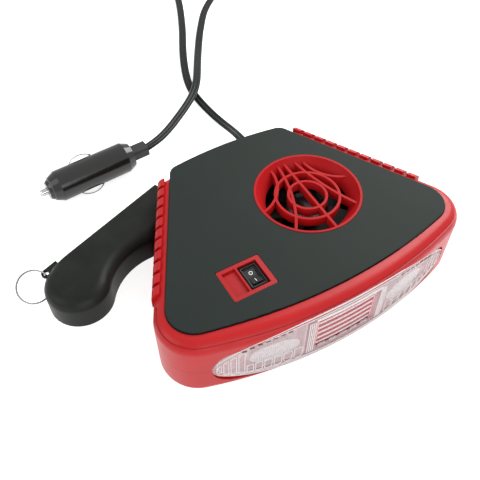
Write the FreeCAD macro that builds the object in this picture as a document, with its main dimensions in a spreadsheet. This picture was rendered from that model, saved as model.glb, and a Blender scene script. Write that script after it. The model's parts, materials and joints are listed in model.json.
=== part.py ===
import FreeCAD, Part
import math
import os
import Sketcher
from FreeCAD import Placement, Rotation, Vector

# A portable 12 volt fan heater: a wedge-shaped red housing with a black top panel, a round air
# inlet, a curved front with lamps and an air outlet, a handle that swings out of a side pocket,
# and a lead that ends in a plug for a vehicle socket.
# Millimetres, +Z up. The ground is z = 0, the origin is under the centre foot, -Y is the front.

doc = FreeCAD.newDocument("fan_heater")
sheet = doc.addObject("Spreadsheet::Sheet", "Sizes")

SIZES = (
    # housing
    ("overall_height", 46.0, "ground to the top of the panel"),
    ("foot_height", 2.0, "how far the feet lift the housing"),
    ("parting_height", 22.5, "the plane where the two shells meet"),
    ("rear_half", 38.4, "half width of the panel between its rear corners"),
    ("front_half", 91.8, "half width of the panel between its front corners"),
    ("panel_depth", 103.1, "front corners to rear corners"),
    ("front_bulge", 14.4, "rise of the curved front of the panel"),
    ("rim_share", 0.76, "front rim at the corners as a share of its middle"),
    ("rear_bulge", 3.3, "rise of the curved rear"),
    ("panel_front_round", 15.0, "front corner radius of the panel"),
    ("panel_rear_round", 7.0, "rear corner radius of the panel"),
    ("panel_thick", 2.2, "thickness of the panel and of its rear skirt"),
    ("panel_edge_round", 0.7, "rounded top edge of the panel"),
    ("skirt_height", 20.0, "how far the skirt comes down at the rear"),
    ("seat_gap", 0.15, "clearance between pieces that drop into each other"),
    ("side_rim", 6.2, "width of the red rim at the sides"),
    ("front_rim", 10.2, "width of the red rim at the middle of the front"),
    ("rim_drop", 1.2, "how far the rim lies under the panel's face"),
    ("rim_round", 6.5, "rounding of the rim"),
    ("shell_rear_round", 6.0, "rear corner radius of the shells"),
    ("groove_width", 0.8, "fine line round the front of the rim"),
    ("groove_depth", 0.5, "depth of that line"),
    ("groove_end", 20.0, "y where that line ends at each side"),
    ("base_round", 5.5, "rounding of the bottom edge"),
    ("wall", 2.2, "wall of the shells"),
    ("rib_count", 11, "ribs along each side"),
    ("rib_pitch", 7.6, "rib to rib"),
    ("rib_length", 5.4, "length of one rib"),
    ("rib_height", 0.9, "how far a rib stands out"),
    ("rib_first", 25.0, "y of the front end of the front rib"),
    ("rib_inner", 3.0, "plain bead between the panel and the ribs"),
    ("rib_slant", 1.5, "how far a rib leans forward from its inner to its outer end"),
    # air inlet
    ("inlet_x", 21.0, "centre of the air inlet"),
    ("inlet_y", 46.5, "centre of the air inlet"),
    ("inlet_radius", 30.8, "outside of the inlet's lip"),
    ("inlet_wall", 1.3, "wall of the inlet's well"),
    ("well_depth", 8.6, "depth of the inlet's well"),
    ("well_taper", 5.6, "how far the well narrows at its bottom"),
    ("inlet_flange", 3.2, "flange that holds the grille under the shell"),
    ("bar_drop", 2.5, "bars under the lip"),
    ("bar_depth", 5.5, "depth of the bars"),
    ("bar_width", 1.5, "width of the bars"),
    ("ring_large", 18.4, "radius of the large ring"),
    ("ring_small", 10.9, "radius of the small ring"),
    # switch
    ("switch_x", -35.7, "centre of the switch"),
    ("switch_y", 12.0, "centre of the switch"),
    ("switch_wide", 10.4, "bezel across"),
    ("switch_long", 14.9, "bezel along"),
    ("bezel_thick", 1.6, "bezel height"),
    ("bezel_rim", 2.1, "bezel frame width"),
    ("bezel_lap", 1.3, "bezel's size over the body's"),
    ("switch_deep", 12.0, "switch body under the bezel"),
    ("rocker_tilt", 6.0, "rocker angle from level, each way"),
    ("rocker_gap", 0.25, "gap round the rocker"),
    ("trunnion", 0.8, "round pivots at the rocker's sides"),
    ("rocker_drop", 1.6, "rocker axis under the top of the bezel"),
    ("surround_left", 16.5, "surround's left edge from the switch centre"),
    ("surround_right", 8.4, "surround's right edge from the switch centre"),
    ("surround_half", 10.2, "surround's half length"),
    ("surround_rim", 2.2, "rim of the surround"),
    ("tray_depth", 1.8, "depth of the shallow tray"),
    ("recess_depth", 3.4, "depth of the switch recess"),
    # lens, lamps and outlet
    ("lens_half", 74.3, "half width of the lens"),
    ("lens_top", "=overall_height - 4.9", "top of the lens at the middle"),
    ("lens_bottom", 4.5, "bottom of the lens at the middle"),
    ("lens_tip", 12.8, "round of the lens's ends"),
    ("lens_tip_height", 21.5, "middle of those rounds"),
    ("lens_thick", 1.8, "thickness of the lens"),
    ("lens_proud", 0.4, "how far the lens stands out"),
    ("window_half", 17.5, "half width of the outlet"),
    ("window_top", "=overall_height - 11.5", "top of the outlet"),
    ("window_bottom", 11.0, "bottom of the outlet"),
    ("slat_count", 6, "slats in the outlet"),
    ("slat_thick", 1.3, "thickness of a slat"),
    ("outlet_depth", 6.0, "depth of the outlet grille"),
    ("outlet_frame", 1.3, "frame of the outlet grille"),
    ("reflector_depth", 7.0, "depth of a lamp reflector"),
    ("reflector_wall", 1.0, "wall of a lamp reflector"),
    ("reflector_margin", 2.5, "lens edge to reflector edge"),
    ("ledge_thick", 1.4, "red ledge behind the lens"),
    ("ledge_gap", 0.4, "reflector to the ledge round it"),
    ("led_radius", 2.5, "lamp diode"),
    ("led_length", 6.0, "lamp diode with its dome"),
    ("led_pitch", 12.0, "diode to diode"),
    ("led_middle", 43.0, "x of the middle diode"),
    ("board_thick", 1.6, "circuit board"),
    ("board_high", 12.0, "circuit board"),
    ("board_long", 36.0, "circuit board"),
    # fan and heater
    ("scroll_radius", 31.0, "inside of the fan's duct"),
    ("scroll_wall", 1.6, "wall of the duct"),
    ("scroll_top", "=overall_height - 11.0", "top of the duct"),
    ("impeller_radius", 27.5, "tip of the blades"),
    ("hub_radius", 12.5, "fan hub"),
    ("hub_height", 10.5, "fan hub"),
    ("hub_top", "=overall_height - 12.0", "top of the fan hub"),
    ("blade_count", 7, "fan blades"),
    ("blade_thick", 1.4, "fan blade"),
    ("blade_pitch", 32.0, "angle of a blade to the plane of the fan"),
    ("shaft_radius", 1.5, "motor shaft"),
    ("motor_radius", 12.0, "motor can"),
    ("motor_height", "=hub_top - hub_height - 7.5", "motor can"),
    ("bearing_gap", 0.05, "running clearance on a radius"),
    ("bracket_radius", 18.0, "motor bracket"),
    ("bracket_thick", 1.6, "motor bracket"),
    ("heater_front", -12.8, "front of the heater"),
    ("heater_depth", 11.0, "heater, front to back"),
    ("heater_half", 21.5, "half width of the heater frame"),
    ("heater_rail", 2.4, "rails of the heater frame"),
    ("fin_pitch", 2.6, "fin to fin"),
    ("fin_thick", 0.8, "heater fin"),
    ("core_high", 4.0, "heating element between the fins"),
    # handle and its hinge
    ("pivot_x", "=3.8 - rear_half", "handle pivot"),
    ("pivot_y", "=panel_depth - 3.2", "handle pivot"),
    ("handle_angle", 201.3, "direction of the open handle"),
    ("handle_fold", "=270 - handle_angle - atan((front_half - rear_half) / panel_depth) / 1 deg",
     "angle from open to folded, where the handle lies along the side"),
    ("handle_bottom", 11.0, "underside of the handle"),
    ("handle_top", "=overall_height - 14.0", "top of the handle"),
    ("handle_split", 16.0, "where the two halves of the handle meet"),
    ("grip_edge", 13.6, "pivot line to the straight edge"),
    ("shoulder", 8.15, "pivot to the square shoulder"),
    ("shoulder_depth", 6.1, "length of the shoulder"),
    ("knuckle", 7.0, "radius round the pivot"),
    ("neck_half", 13.4, "pivot line to the inner edge of the neck"),
    ("neck_start", 9.0, "where the neck's inner edge begins"),
    ("neck_round", 20.0, "round from the neck to the waist"),
    ("waist_place", 53.0, "waist along the handle"),
    ("waist", 10.0, "pivot line to the waist"),
    ("bulb_place", 85.5, "centre of the round end"),
    ("bulb_side", 3.0, "centre of the round end from the pivot line"),
    ("bulb_radius", 18.0, "round end"),
    ("handle_round", 7.0, "soft top edge of the handle"),
    ("handle_edge", 1.2, "crisp edges of the handle"),
    ("handle_foot_round", 2.0, "bottom edge of the handle"),
    ("pin_radius", 2.5, "hinge pin"),
    ("pin_head", 4.5, "head of the hinge pin"),
    ("pin_head_height", 1.6, "head of the hinge pin"),
    ("tower_radius", 5.6, "round stand of the hinge pin at the rear corner"),
    ("washer_radius", 6.2, "friction washer"),
    ("washer_thick", 0.5, "friction washer"),
    ("pocket_gap", 0.7, "clearance round the handle in its pocket"),
    ("pocket_wall", 2.0, "wall of the pocket"),
    # key ring and its eye
    ("eye_along", 91.8, "eye along the handle"),
    ("eye_out", "=grip_edge + 1.6", "eye from the pivot line"),
    ("eye_height", "=handle_top - 5.0", "middle of the eye"),
    ("eye_radius", 2.7, "round end of the eye"),
    ("eye_hole", 1.6, "hole of the eye"),
    ("eye_thick", 1.6, "thickness of the eye"),
    ("eye_root", 83.0, "where the eye leaves the edge"),
    ("key_ring_radius", 9.5, "key ring, to the middle of the wire"),
    ("key_ring_wire", 0.5, "wire radius of the key ring"),
    ("key_ring_tilt", 12.0, "how far the key ring points down"),
    # plug
    ("plug_x", -108.1, "tip of the plug"),
    ("plug_y", 159.0, "tip of the plug"),
    ("plug_angle", 5.0, "direction of the plug"),
    ("plug_radius", 10.5, "barrel of the plug"),
    ("plug_lift", 10.6, "axis of the plug over the ground"),
    ("tip_radius", 2.4, "tip pin"),
    ("tip_travel", 2.5, "travel of the tip pin"),
    ("nose_start", 5.4, "front of the nose cap"),
    ("nose_end", 12.9, "rear of the nose cap"),
    ("nose_radius", 6.2, "front face of the nose cap"),
    ("barrel_end", 66.3, "rear of the barrel"),
    ("barrel_wall", 1.8, "wall of the barrel"),
    ("tail_chamfer", 5.0, "chamfer at the rear of the barrel"),
    ("contact_start", 23.0, "side contact, front end"),
    ("contact_end", 43.0, "side contact, rear end"),
    ("contact_wide", 3.6, "side contact"),
    ("contact_thick", 0.6, "side contact"),
    ("contact_out", 3.0, "how far a side contact stands out"),
    ("contact_tab", 2.4, "flat end of a side contact under the barrel's wall"),
    ("contact_roll", 45.0, "side contacts turned about the plug's axis"),
    ("sleeve_length", 12.0, "strain relief of the plug"),
    ("sleeve_half", 4.8, "half width of the strain relief"),
    ("fuse_radius", 3.1, "glass fuse"),
    ("fuse_length", 30.0, "glass fuse"),
    # lead
    ("cord_radius", 2.6, "half the width of the lead"),
    ("coil_outer", 37.0, "outside of the put-away turns"),
    ("coil_inner", 21.0, "inside of the put-away turns"),
    ("coil_height", 7.0, "height of the put-away turns"),
    ("tie_wide", 4.0, "strap round the put-away turns"),
    ("tie_thick", 0.8, "strap round the put-away turns"),
    ("exit_x", 27.0, "where the lead leaves the housing"),
    ("exit_height", 14.0, "where the lead leaves the housing"),
    ("grommet_radius", 5.0, "flange of the grommet"),
    ("grommet_length", 12.0, "taper of the grommet behind the wall"),
    # fasteners and feet
    ("screw_radius", 1.5, "housing screws"),
    ("screw_head", 2.9, "housing screws"),
    ("boss_radius", 4.0, "screw bosses"),
    ("boss_front_x", 37.0, "front bosses"),
    ("boss_front_y", -3.5, "front bosses"),
    ("boss_rear_x", 42.0, "right rear boss"),
    ("boss_rear_y", "=panel_depth - 19.1", "right rear boss"),
    ("boss_left_x", -7.0, "left rear boss"),
    ("boss_left_y", "=panel_depth - 11.1", "left rear boss"),
    ("foot_radius", 6.0, "rubber feet"),
    ("foot_sunk", 0.8, "how deep a foot sits in the shell"),
    ("foot_front_x", 64.0, "front feet"),
    ("foot_front_y", 4.0, "front feet"),
    ("foot_rear_x", 24.0, "rear feet"),
    ("foot_rear_y", "=panel_depth - 17.1", "rear feet"),
)

for row, (name, value, note) in enumerate(SIZES, start=1):
    sheet.set(f"A{row}", name)
    sheet.set(f"B{row}", str(value))
    sheet.set(f"C{row}", note)
    sheet.setAlias(f"B{row}", name)
doc.recompute()


class Size:
    """A number of the sheet, or one worked out from them, with its expression."""

    def __init__(self, value, text):
        self.value = float(value)
        self.text = text

    def join(self, other, sign, value, swap=False):
        texts = [self.text, other.text if isinstance(other, Size) else repr(float(other))]
        if swap:
            texts.reverse()
        return Size(value, f"({texts[0]} {sign} {texts[1]})")

    def __float__(self):
        return self.value

    def __add__(self, other):
        return self.join(other, "+", self.value + float(other))

    def __radd__(self, other):
        return self.join(other, "+", float(other) + self.value, swap=True)

    def __sub__(self, other):
        return self.join(other, "-", self.value - float(other))

    def __rsub__(self, other):
        return self.join(other, "-", float(other) - self.value, swap=True)

    def __mul__(self, other):
        return self.join(other, "*", self.value * float(other))

    def __rmul__(self, other):
        return self.join(other, "*", float(other) * self.value, swap=True)

    def __truediv__(self, other):
        return self.join(other, "/", self.value / float(other))

    def __neg__(self):
        return Size(-self.value, f"(-1 * {self.text})")


class Named:
    """S.wall is the Size whose alias is wall."""

    def __getattr__(self, name):
        return Size(sheet.get(name), f"{sheet.Name}.{name}")


S = Named()
N = {name: float(sheet.get(name)) for name, value, note in SIZES}
subparts = []


# ---------------------------------------------------------------- document helpers
def bind(item, prop, size):
    """Set a property, and tie it to the sheet where the value comes from there."""
    if isinstance(size, Size):
        item.setExpression(prop, size.text)


def place(item, at, turn=None):
    """Give an object its Placement, tied to the sheet."""
    item.Placement = Placement(Vector(*[float(c) for c in at]), turn or Rotation())
    for axis, value in zip("xyz", at):
        bind(item, f"Placement.Base.{axis}", value)


def keep(item, label):
    item.Label = label
    subparts.append(item)
    return item


def box(name, at, size, turn=None):
    item = doc.addObject("Part::Box", name)
    for prop, value in zip(("Length", "Width", "Height"), size):
        setattr(item, prop, float(value))
        bind(item, prop, value)
    place(item, at, turn)
    return item


def cylinder(name, at, radius, height, turn=None):
    item = doc.addObject("Part::Cylinder", name)
    item.Radius = float(radius)
    item.Height = float(height)
    bind(item, "Radius", radius)
    bind(item, "Height", height)
    place(item, at, turn)
    return item


def cut(name, base, *tools):
    tool = tools[0] if len(tools) == 1 else fuse(name + "_tools", *tools)
    item = doc.addObject("Part::Cut", name)
    item.Base = base
    item.Tool = tool
    return item


def fuse(name, *shapes):
    item = doc.addObject("Part::MultiFuse", name)
    item.Shapes = list(shapes)
    return item


def group(name, *shapes):
    item = doc.addObject("Part::Compound", name)
    item.Links = list(shapes)
    return item


def feature(label, shape, at=(0, 0, 0), turn=None):
    """A sub-part whose shape is made with Part's own functions."""
    if not shape.Placement.isIdentity():
        raise RuntimeError(f"{label} would lose its own placement")
    item = doc.addObject("Part::Feature", label)
    item.Shape = shape
    place(item, at, turn)
    return keep(item, label)


def polygon(body, role, points, name="Profile"):
    """A closed sketch on one of the body's own planes, each corner tied to the sheet."""
    sketch = body.newObject("Sketcher::SketchObject", name)
    plane = [f for f in body.Origin.OriginFeatures if f.Role == role][0]
    sketch.AttachmentSupport = [(plane, "")]
    sketch.MapMode = "FlatFace"
    corners = [Vector(float(x), float(y), 0) for x, y in points]
    count = len(corners)
    for i in range(count):
        sketch.addGeometry(Part.LineSegment(corners[i], corners[(i + 1) % count]), False)
    for i in range(count):
        sketch.addConstraint(Sketcher.Constraint("Coincident", i, 2, (i + 1) % count, 1))
    for i, (x, y) in enumerate(points):
        for kind, value, axis in (("DistanceX", x, -2), ("DistanceY", y, -1)):
            if float(value) == 0:
                sketch.addConstraint(Sketcher.Constraint("PointOnObject", i, 1, axis))
                continue
            at = sketch.addConstraint(Sketcher.Constraint(kind, -1, 1, i, 1, float(value)))
            bind(sketch, f"Constraints[{at}]", value)
    return sketch


def turned(label, points, at=(0, 0, 0), turn=None):
    """A turned piece: the profile's (radius, height) corners spun round the body's own Z."""
    body = doc.addObject("PartDesign::Body", label)
    sketch = polygon(body, "XZ_Plane", points)
    spin = body.newObject("PartDesign::Revolution", "Spin")
    spin.Profile = sketch
    spin.ReferenceAxis = (sketch, ["V_Axis"])
    spin.Angle = 360
    body.Tip = spin
    place(body, at, turn)
    return keep(body, label)


# ---------------------------------------------------------------- plan of the housing
def unit(vector):
    return Vector(vector).normalize()


def arc(start, middle, end):
    return Part.Arc(start, middle, end).toShape()


def line(start, end):
    return Part.LineSegment(start, end).toShape()


def corner(inside_line, along, outward, centre, big, small, front):
    """Round a corner between the straight side and a curved end: centre and tangent points."""
    start = inside_line - outward * small
    reach = big - small
    offset = start - centre
    b = offset.dot(along)
    root = math.sqrt(b * b - offset.dot(offset) + reach * reach)
    middle = start + along * (-b + (root if front else -root))
    to_end = unit(middle - centre)
    return middle, middle + outward * small, centre + to_end * big, middle + unit(outward + to_end) * small


def front_circle(front):
    """Centre and radius of the curved front, moved out by front at the middle and less at its ends."""
    half = N["front_half"]
    rise = N["front_bulge"] + front
    ends = N["rim_share"] * front
    centre = (half * half + ends * ends - rise * rise) / (2 * (rise - ends))
    return Vector(0, centre, 0), centre + rise


def outline(side, front, rear, front_round, rear_round):
    """The panel's plan with its edges moved out by side, front and rear, as a wire at z = 0."""
    a = Vector(N["rear_half"], N["panel_depth"], 0)
    b = Vector(N["front_half"], 0, 0)
    along = unit(b - a)
    outward = Vector(-along.y, along.x, 0)
    on_side = a + outward * side
    front_centre, front_arc = front_circle(front)
    rise, half = N["rear_bulge"], N["rear_half"]
    rear_arc = (half * half + rise * rise) / (2 * rise)
    rear_centre = Vector(0, N["panel_depth"] + rise - rear_arc, 0)
    f_mid, f_side, f_end, f_arc = corner(
        on_side, along, outward, front_centre, front_arc, front_round, True
    )
    r_mid, r_side, r_end, r_arc = corner(
        on_side, along, outward, rear_centre, rear_arc + rear, rear_round, False
    )

    def left(point):
        return Vector(-point.x, point.y, 0)

    front_tip = Vector(0, front_centre.y - front_arc, 0)
    rear_tip = Vector(0, rear_centre.y + rear_arc + rear, 0)
    return Part.Wire(
        [
            line(r_side, f_side),
            arc(f_side, f_arc, f_end),
            arc(f_end, front_tip, left(f_end)),
            arc(left(f_end), left(f_arc), left(f_side)),
            line(left(f_side), left(r_side)),
            arc(left(r_side), left(r_arc), left(r_end)),
            arc(left(r_end), rear_tip, r_end),
            arc(r_end, r_arc, r_side),
        ]
    )


def prism(wire, low, high):
    face = Part.Face(wire)
    face.translate(Vector(0, 0, low))
    return face.extrude(Vector(0, 0, high - low))


def rim_edges(solid, height):
    """The edges of a solid that lie level at the given height."""
    return [e for e in solid.Edges if abs(e.BoundBox.ZMin - height) + abs(e.BoundBox.ZMax - height) < 1e-4]


rim_top = N["overall_height"] - N["rim_drop"]
panel_floor = N["overall_height"] - N["panel_thick"]
ceiling = panel_floor - N["wall"]
floor_top = N["foot_height"] + N["wall"]
shell_rear = -(N["panel_thick"] + N["seat_gap"])


def housing_form(grow, low, high):
    """The rounded block of the housing, grown or shrunk by grow, between two heights."""
    wire = outline(
        N["side_rim"] + grow,
        N["front_rim"] + grow,
        shell_rear + grow,
        N["panel_front_round"] + N["side_rim"] + grow,
        max(N["shell_rear_round"] + grow, 1.0),
    )
    block = prism(wire, low, high)
    block = block.makeFillet(max(N["rim_round"] + grow, 0.5), rim_edges(block, high))
    return block.makeFillet(max(N["base_round"] + grow, 0.5), rim_edges(block, low))


def slab(low, high):
    far = 400.0
    return Part.makeBox(2 * far, 2 * far, high - low, Vector(-far, -far, low))


outer = housing_form(0, N["foot_height"], rim_top)
hollow = housing_form(-N["wall"], floor_top, ceiling)


# ---------------------------------------------------------------- handle plan and its pocket
def ring_of(radius, x, y, angle):
    a = math.radians(angle)
    return Vector(x + radius * math.cos(a), y + radius * math.sin(a), 0)


def tangent_point(radius, point, side):
    """Where a line from a point touches a circle about the origin."""
    reach = point.Length
    turn = math.acos(radius / reach) * side
    base = math.atan2(point.y, point.x)
    return Vector(radius * math.cos(base + turn), radius * math.sin(base + turn), 0)


def handle_outline():
    """The handle seen from above, the pivot at the origin and the round end along +X."""
    edge = -N["grip_edge"]
    bulb = Vector(N["bulb_place"], N["bulb_side"], 0)
    radius = N["bulb_radius"]
    edge_end = Vector(bulb.x + math.sqrt(radius**2 - (edge - bulb.y) ** 2), edge, 0)
    # The waist's arc touches the round end: its radius follows from where the waist lies.
    dx = bulb.x - N["waist_place"]
    dy = N["waist"] - bulb.y
    waist_arc = (dx * dx + dy * dy - radius * radius) / (2 * (radius - dy))
    waist = Vector(N["waist_place"], N["waist"] + waist_arc, 0)
    touch = bulb + unit(waist - bulb) * radius
    neck = N["neck_half"]
    small = N["neck_round"]
    rise = waist.y - (neck - small)
    soft = Vector(waist.x - math.sqrt((waist_arc + small) ** 2 - rise**2), neck - small, 0)
    to_waist = unit(waist - soft)
    soft_end = soft + to_waist * small
    soft_mid = soft + unit(Vector(0, 1, 0) + to_waist) * small
    neck_end = Vector(soft.x, neck, 0)
    neck_start = Vector(N["neck_start"], neck, 0)
    inner = tangent_point(N["knuckle"], neck_start, 1)
    step = Vector(N["shoulder"], edge + N["shoulder_depth"], 0)
    outer_touch = tangent_point(N["knuckle"], step, -1)
    tip = bulb + Vector(radius, 0, 0)
    waist_mid = Vector(waist.x, waist.y - waist_arc, 0)
    back = -N["knuckle"]
    return Part.Wire(
        [
            line(Vector(N["shoulder"], edge, 0), edge_end),
            arc(edge_end, tip, touch),
            arc(touch, waist_mid, soft_end),
            arc(soft_end, soft_mid, neck_end),
            line(neck_end, neck_start),
            line(neck_start, inner),
            arc(inner, Vector(back, 0, 0), outer_touch),
            line(outer_touch, step),
            line(step, Vector(N["shoulder"], edge, 0)),
        ]
    )


def sector(radius, start, end):
    """A pie slice about the pivot between two directions, at z = 0."""
    points = [ring_of(radius, 0, 0, a) for a in (start, (start + end) / 2, end)]
    wire = Part.Wire([line(Vector(), points[0]), arc(*points), line(points[2], Vector())])
    return Part.Face(wire)


pivot = Vector(N["pivot_x"], N["pivot_y"], 0)


def pocket_form(grow):
    """The room that the handle sweeps inside the housing, grown by grow."""
    gap = N["pocket_gap"] + grow
    folded = N["handle_angle"] + N["handle_fold"]
    reach = N["bulb_place"] + N["bulb_radius"] + gap
    grip = Part.Face(handle_outline().makeOffset2D(gap))
    grip.rotate(Vector(), Vector(0, 0, 1), folded)
    knuckle = Part.Face(Part.Wire(Part.makeCircle(N["knuckle"] + gap)))
    inner_corner = math.hypot(N["neck_start"], N["neck_half"])
    swing = sector(inner_corner + gap, N["handle_angle"] - 70, folded + 60)
    bulb = sector(reach, folded - 40, folded + 7)
    plan = grip.fuse([knuckle, swing, bulb])
    low = N["handle_bottom"] - gap
    high = N["handle_top"] + gap
    solids = []
    for face in plan.Faces:
        face = face.copy()
        face.translate(Vector(pivot.x, pivot.y, low))
        solids.append(face.extrude(Vector(0, 0, high - low)))
    form = solids[0].fuse(solids[1:]) if len(solids) > 1 else solids[0]
    return form.removeSplitter()


pocket = pocket_form(0)
pocket_walls = pocket_form(N["pocket_wall"])
pin_top = N["handle_top"] + N["pocket_gap"] + N["pocket_wall"]


# ---------------------------------------------------------------- lens and lamp forms
def almond(shrink):
    """The lens seen from the front as a prism along Y: two long arcs joined by round tips."""
    radius = N["lens_tip"] - shrink
    tip = Vector(N["lens_half"] - N["lens_tip"], 0, N["lens_tip_height"])
    ends = []
    for level, sign in ((N["lens_top"] - shrink, 1), (N["lens_bottom"] + shrink, -1)):
        depth = abs(level - tip.z)
        big = (tip.x**2 + depth**2 - radius**2) / (2 * (depth - radius))
        centre = Vector(0, 0, level - sign * big)
        ends.append((Vector(0, 0, level), centre + unit(tip - centre) * big))
    (top_middle, top_right), (low_middle, low_right) = ends
    top_left = Vector(-top_right.x, 0, top_right.z)
    low_left = Vector(-low_right.x, 0, low_right.z)
    far = Vector(tip.x + radius, 0, tip.z)
    wire = Part.Wire(
        [
            arc(top_left, top_middle, top_right),
            arc(top_right, far, low_right),
            arc(low_right, low_middle, low_left),
            arc(low_left, Vector(-far.x, 0, far.z), top_left),
        ]
    )
    face = Part.Face(wire)
    face.translate(Vector(0, -60, 0))
    return face.extrude(Vector(0, 58, 0))


def skin(out, back):
    """A layer that follows the housing's front, from out in front of it to back behind it."""
    low = N["foot_height"]
    layer = housing_form(out, low - out, rim_top + out)
    return layer.cut(housing_form(-back, low + back, rim_top - back))


def front_layer(out, back):
    """As skin, but upright at its back, so that it doesn't turn in over the floor and the ceiling."""
    low = N["foot_height"]
    plan = outline(
        N["side_rim"] - back,
        N["front_rim"] - back,
        shell_rear - back,
        N["panel_front_round"] + N["side_rim"] - back,
        1.0,
    )
    return housing_form(out, low - out, rim_top + out).cut(prism(plan, -50, 150))


def window(grow, front=-60.0, back=-2.0):
    half = N["window_half"] + grow
    low = N["window_bottom"] - grow
    high = N["window_top"] + grow
    return Part.makeBox(2 * half, back - front, high - low, Vector(-half, front, low))


def wing(side, shrink):
    """One wing of the lens's almond, beside the outlet."""
    start = N["heater_half"] + N["scroll_wall"] + 0.8 + shrink
    block = Part.makeBox(N["lens_half"], 60, 60, Vector(start, -60, 0))
    if side < 0:
        block = block.mirror(Vector(), Vector(1, 0, 0))
    return almond(shrink + N["reflector_margin"]).common(block)


# ---------------------------------------------------------------- housing shells
def boss_places():
    return (
        (N["boss_front_x"], N["boss_front_y"]),
        (-N["boss_front_x"], N["boss_front_y"]),
        (N["boss_rear_x"], N["boss_rear_y"]),
        (N["boss_left_x"], N["boss_left_y"]),
    )


def foot_places():
    return (
        (0, 0),
        (N["foot_front_x"], N["foot_front_y"]),
        (-N["foot_front_x"], N["foot_front_y"]),
        (N["foot_rear_x"], N["foot_rear_y"]),
        (-N["foot_rear_x"], N["foot_rear_y"]),
    )


def post(radius, x, y, low, high):
    return Part.makeCylinder(radius, high - low, Vector(x, y, low))


def rib_section():
    """One rib of the side strip cut across: x outward from the panel's edge, z up."""
    inner = N["rib_inner"]
    reach = N["side_rim"] + N["rib_height"]
    rib_top = rim_top + N["rib_height"]
    low = rim_top - N["rim_round"] - 2.5
    root = N["side_rim"] - N["wall"] / 2
    radius = reach - inner - 0.4
    middle = radius * (1 - math.sqrt(0.5))
    start = Vector(reach - radius, 0, rib_top)
    end = Vector(reach, 0, rib_top - radius)
    corners = [end, Vector(reach, 0, low), Vector(root, 0, low), Vector(inner, 0, rim_top - 1.5)]
    corners += [Vector(inner, 0, rib_top), start]
    edges = [arc(start, Vector(reach - middle, 0, rib_top - middle), end)]
    edges += [line(p, q) for p, q in zip(corners, corners[1:])]
    return Part.Face(Part.Wire(edges))


def side_ribs():
    a = Vector(N["rear_half"], N["panel_depth"], 0)
    b = Vector(N["front_half"], 0, 0)
    along = unit(a - b)
    outward = Vector(along.y, -along.x, 0)
    lean = outward - along * (N["rib_slant"] / (N["side_rim"] + N["rib_height"] - N["rib_inner"]))
    ribs = []
    for i in range(int(N["rib_count"])):
        start = b + along * (N["rib_first"] / along.y + i * N["rib_pitch"])
        face = rib_section().transformGeometry(
            FreeCAD.Matrix(
                lean.x, along.x, 0, start.x,
                lean.y, along.y, 0, start.y,
                0, 0, 1, 0,
                0, 0, 0, 1,
            )
        )
        solid = face.extrude(along * N["rib_length"])
        ribs.append(solid)
        ribs.append(solid.mirror(Vector(), Vector(1, 0, 0)))
    return ribs


cavity = hollow.cut(pocket_walls)
lens_hole = almond(-N["seat_gap"]).common(slab(-10, 80))
shells = outer.cut(cavity).cut(pocket).cut(lens_hole.common(skin(2, N["wall"] + 1)))
ledge_front = N["lens_thick"] + 0.1
ledge = almond(-0.8).common(front_layer(-ledge_front, ledge_front + N["ledge_thick"]))
ledge = ledge.cut([wing(-1, -N["ledge_gap"]), wing(1, -N["ledge_gap"]), window(N["ledge_gap"])])
shells = shells.fuse(ledge).removeSplitter()

upper = shells.common(slab(N["parting_height"], 90))
recess = prism(
    outline(
        N["seat_gap"], N["seat_gap"], N["side_rim"],
        N["panel_front_round"], N["panel_rear_round"],
    ),
    panel_floor,
    80,
)
upper = upper.cut(recess)
upper = upper.fuse(side_ribs())
surround = Part.makeBox(
    N["surround_left"] + N["surround_right"],
    2 * N["surround_half"],
    N["overall_height"] - 0.2 - ceiling,
    Vector(N["switch_x"] - N["surround_left"], N["switch_y"] - N["surround_half"], ceiling),
)
surround = surround.makeFillet(1.0, [e for e in surround.Edges if e.BoundBox.ZLength > 1])
upper = upper.fuse(surround)
for x, y in boss_places():
    upper = upper.fuse(post(N["boss_radius"], x, y, N["parting_height"], ceiling + 0.5))
groove_low = rim_top - N["rim_round"] * (1 - math.sqrt(0.5)) - N["groove_width"] / 2
groove = skin(1.0, N["groove_depth"]).common(slab(groove_low, groove_low + N["groove_width"]))
groove = groove.common(Part.makeBox(400, 100 + N["groove_end"], 80, Vector(-200, -100, 0)))
upper = upper.cut(groove).removeSplitter()

top = N["overall_height"]
bezel_left = N["switch_x"] - N["switch_wide"] / 2 - 0.4
tray_left = N["switch_x"] - N["surround_left"] + N["surround_rim"]
tray_low = N["switch_y"] - N["surround_half"] + N["surround_rim"]
tray_long = 2 * (N["surround_half"] - N["surround_rim"])
recess_right = N["switch_x"] + N["switch_wide"] / 2 + 0.4
seat = top - N["recess_depth"]
neck_gap = 0.15
fit_gap = 0.02
switch_neck = N["switch_wide"] - N["bezel_lap"] + neck_gap
switch_neck_long = N["switch_long"] - N["bezel_lap"] + neck_gap
openings = [
    Part.makeBox(bezel_left - 1 - tray_left, tray_long, 9, Vector(tray_left, tray_low, top - N["tray_depth"])),
    Part.makeBox(recess_right - bezel_left, tray_long, 9, Vector(bezel_left, tray_low, seat)),
    Part.makeBox(
        switch_neck,
        switch_neck_long,
        20,
        Vector(N["switch_x"] - switch_neck / 2, N["switch_y"] - switch_neck_long / 2, seat - 10),
    ),
    post(N["inlet_radius"] + N["seat_gap"], N["inlet_x"], N["inlet_y"], ceiling - 5, 80),
    post(N["pin_radius"] + fit_gap, pivot.x, pivot.y, N["handle_bottom"], ceiling),
]
openings += [post(N["screw_radius"], x, y, N["parting_height"] - 1, ceiling - 2) for x, y in boss_places()]
upper = upper.cut(openings)
feature("upper_shell", upper)

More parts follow.
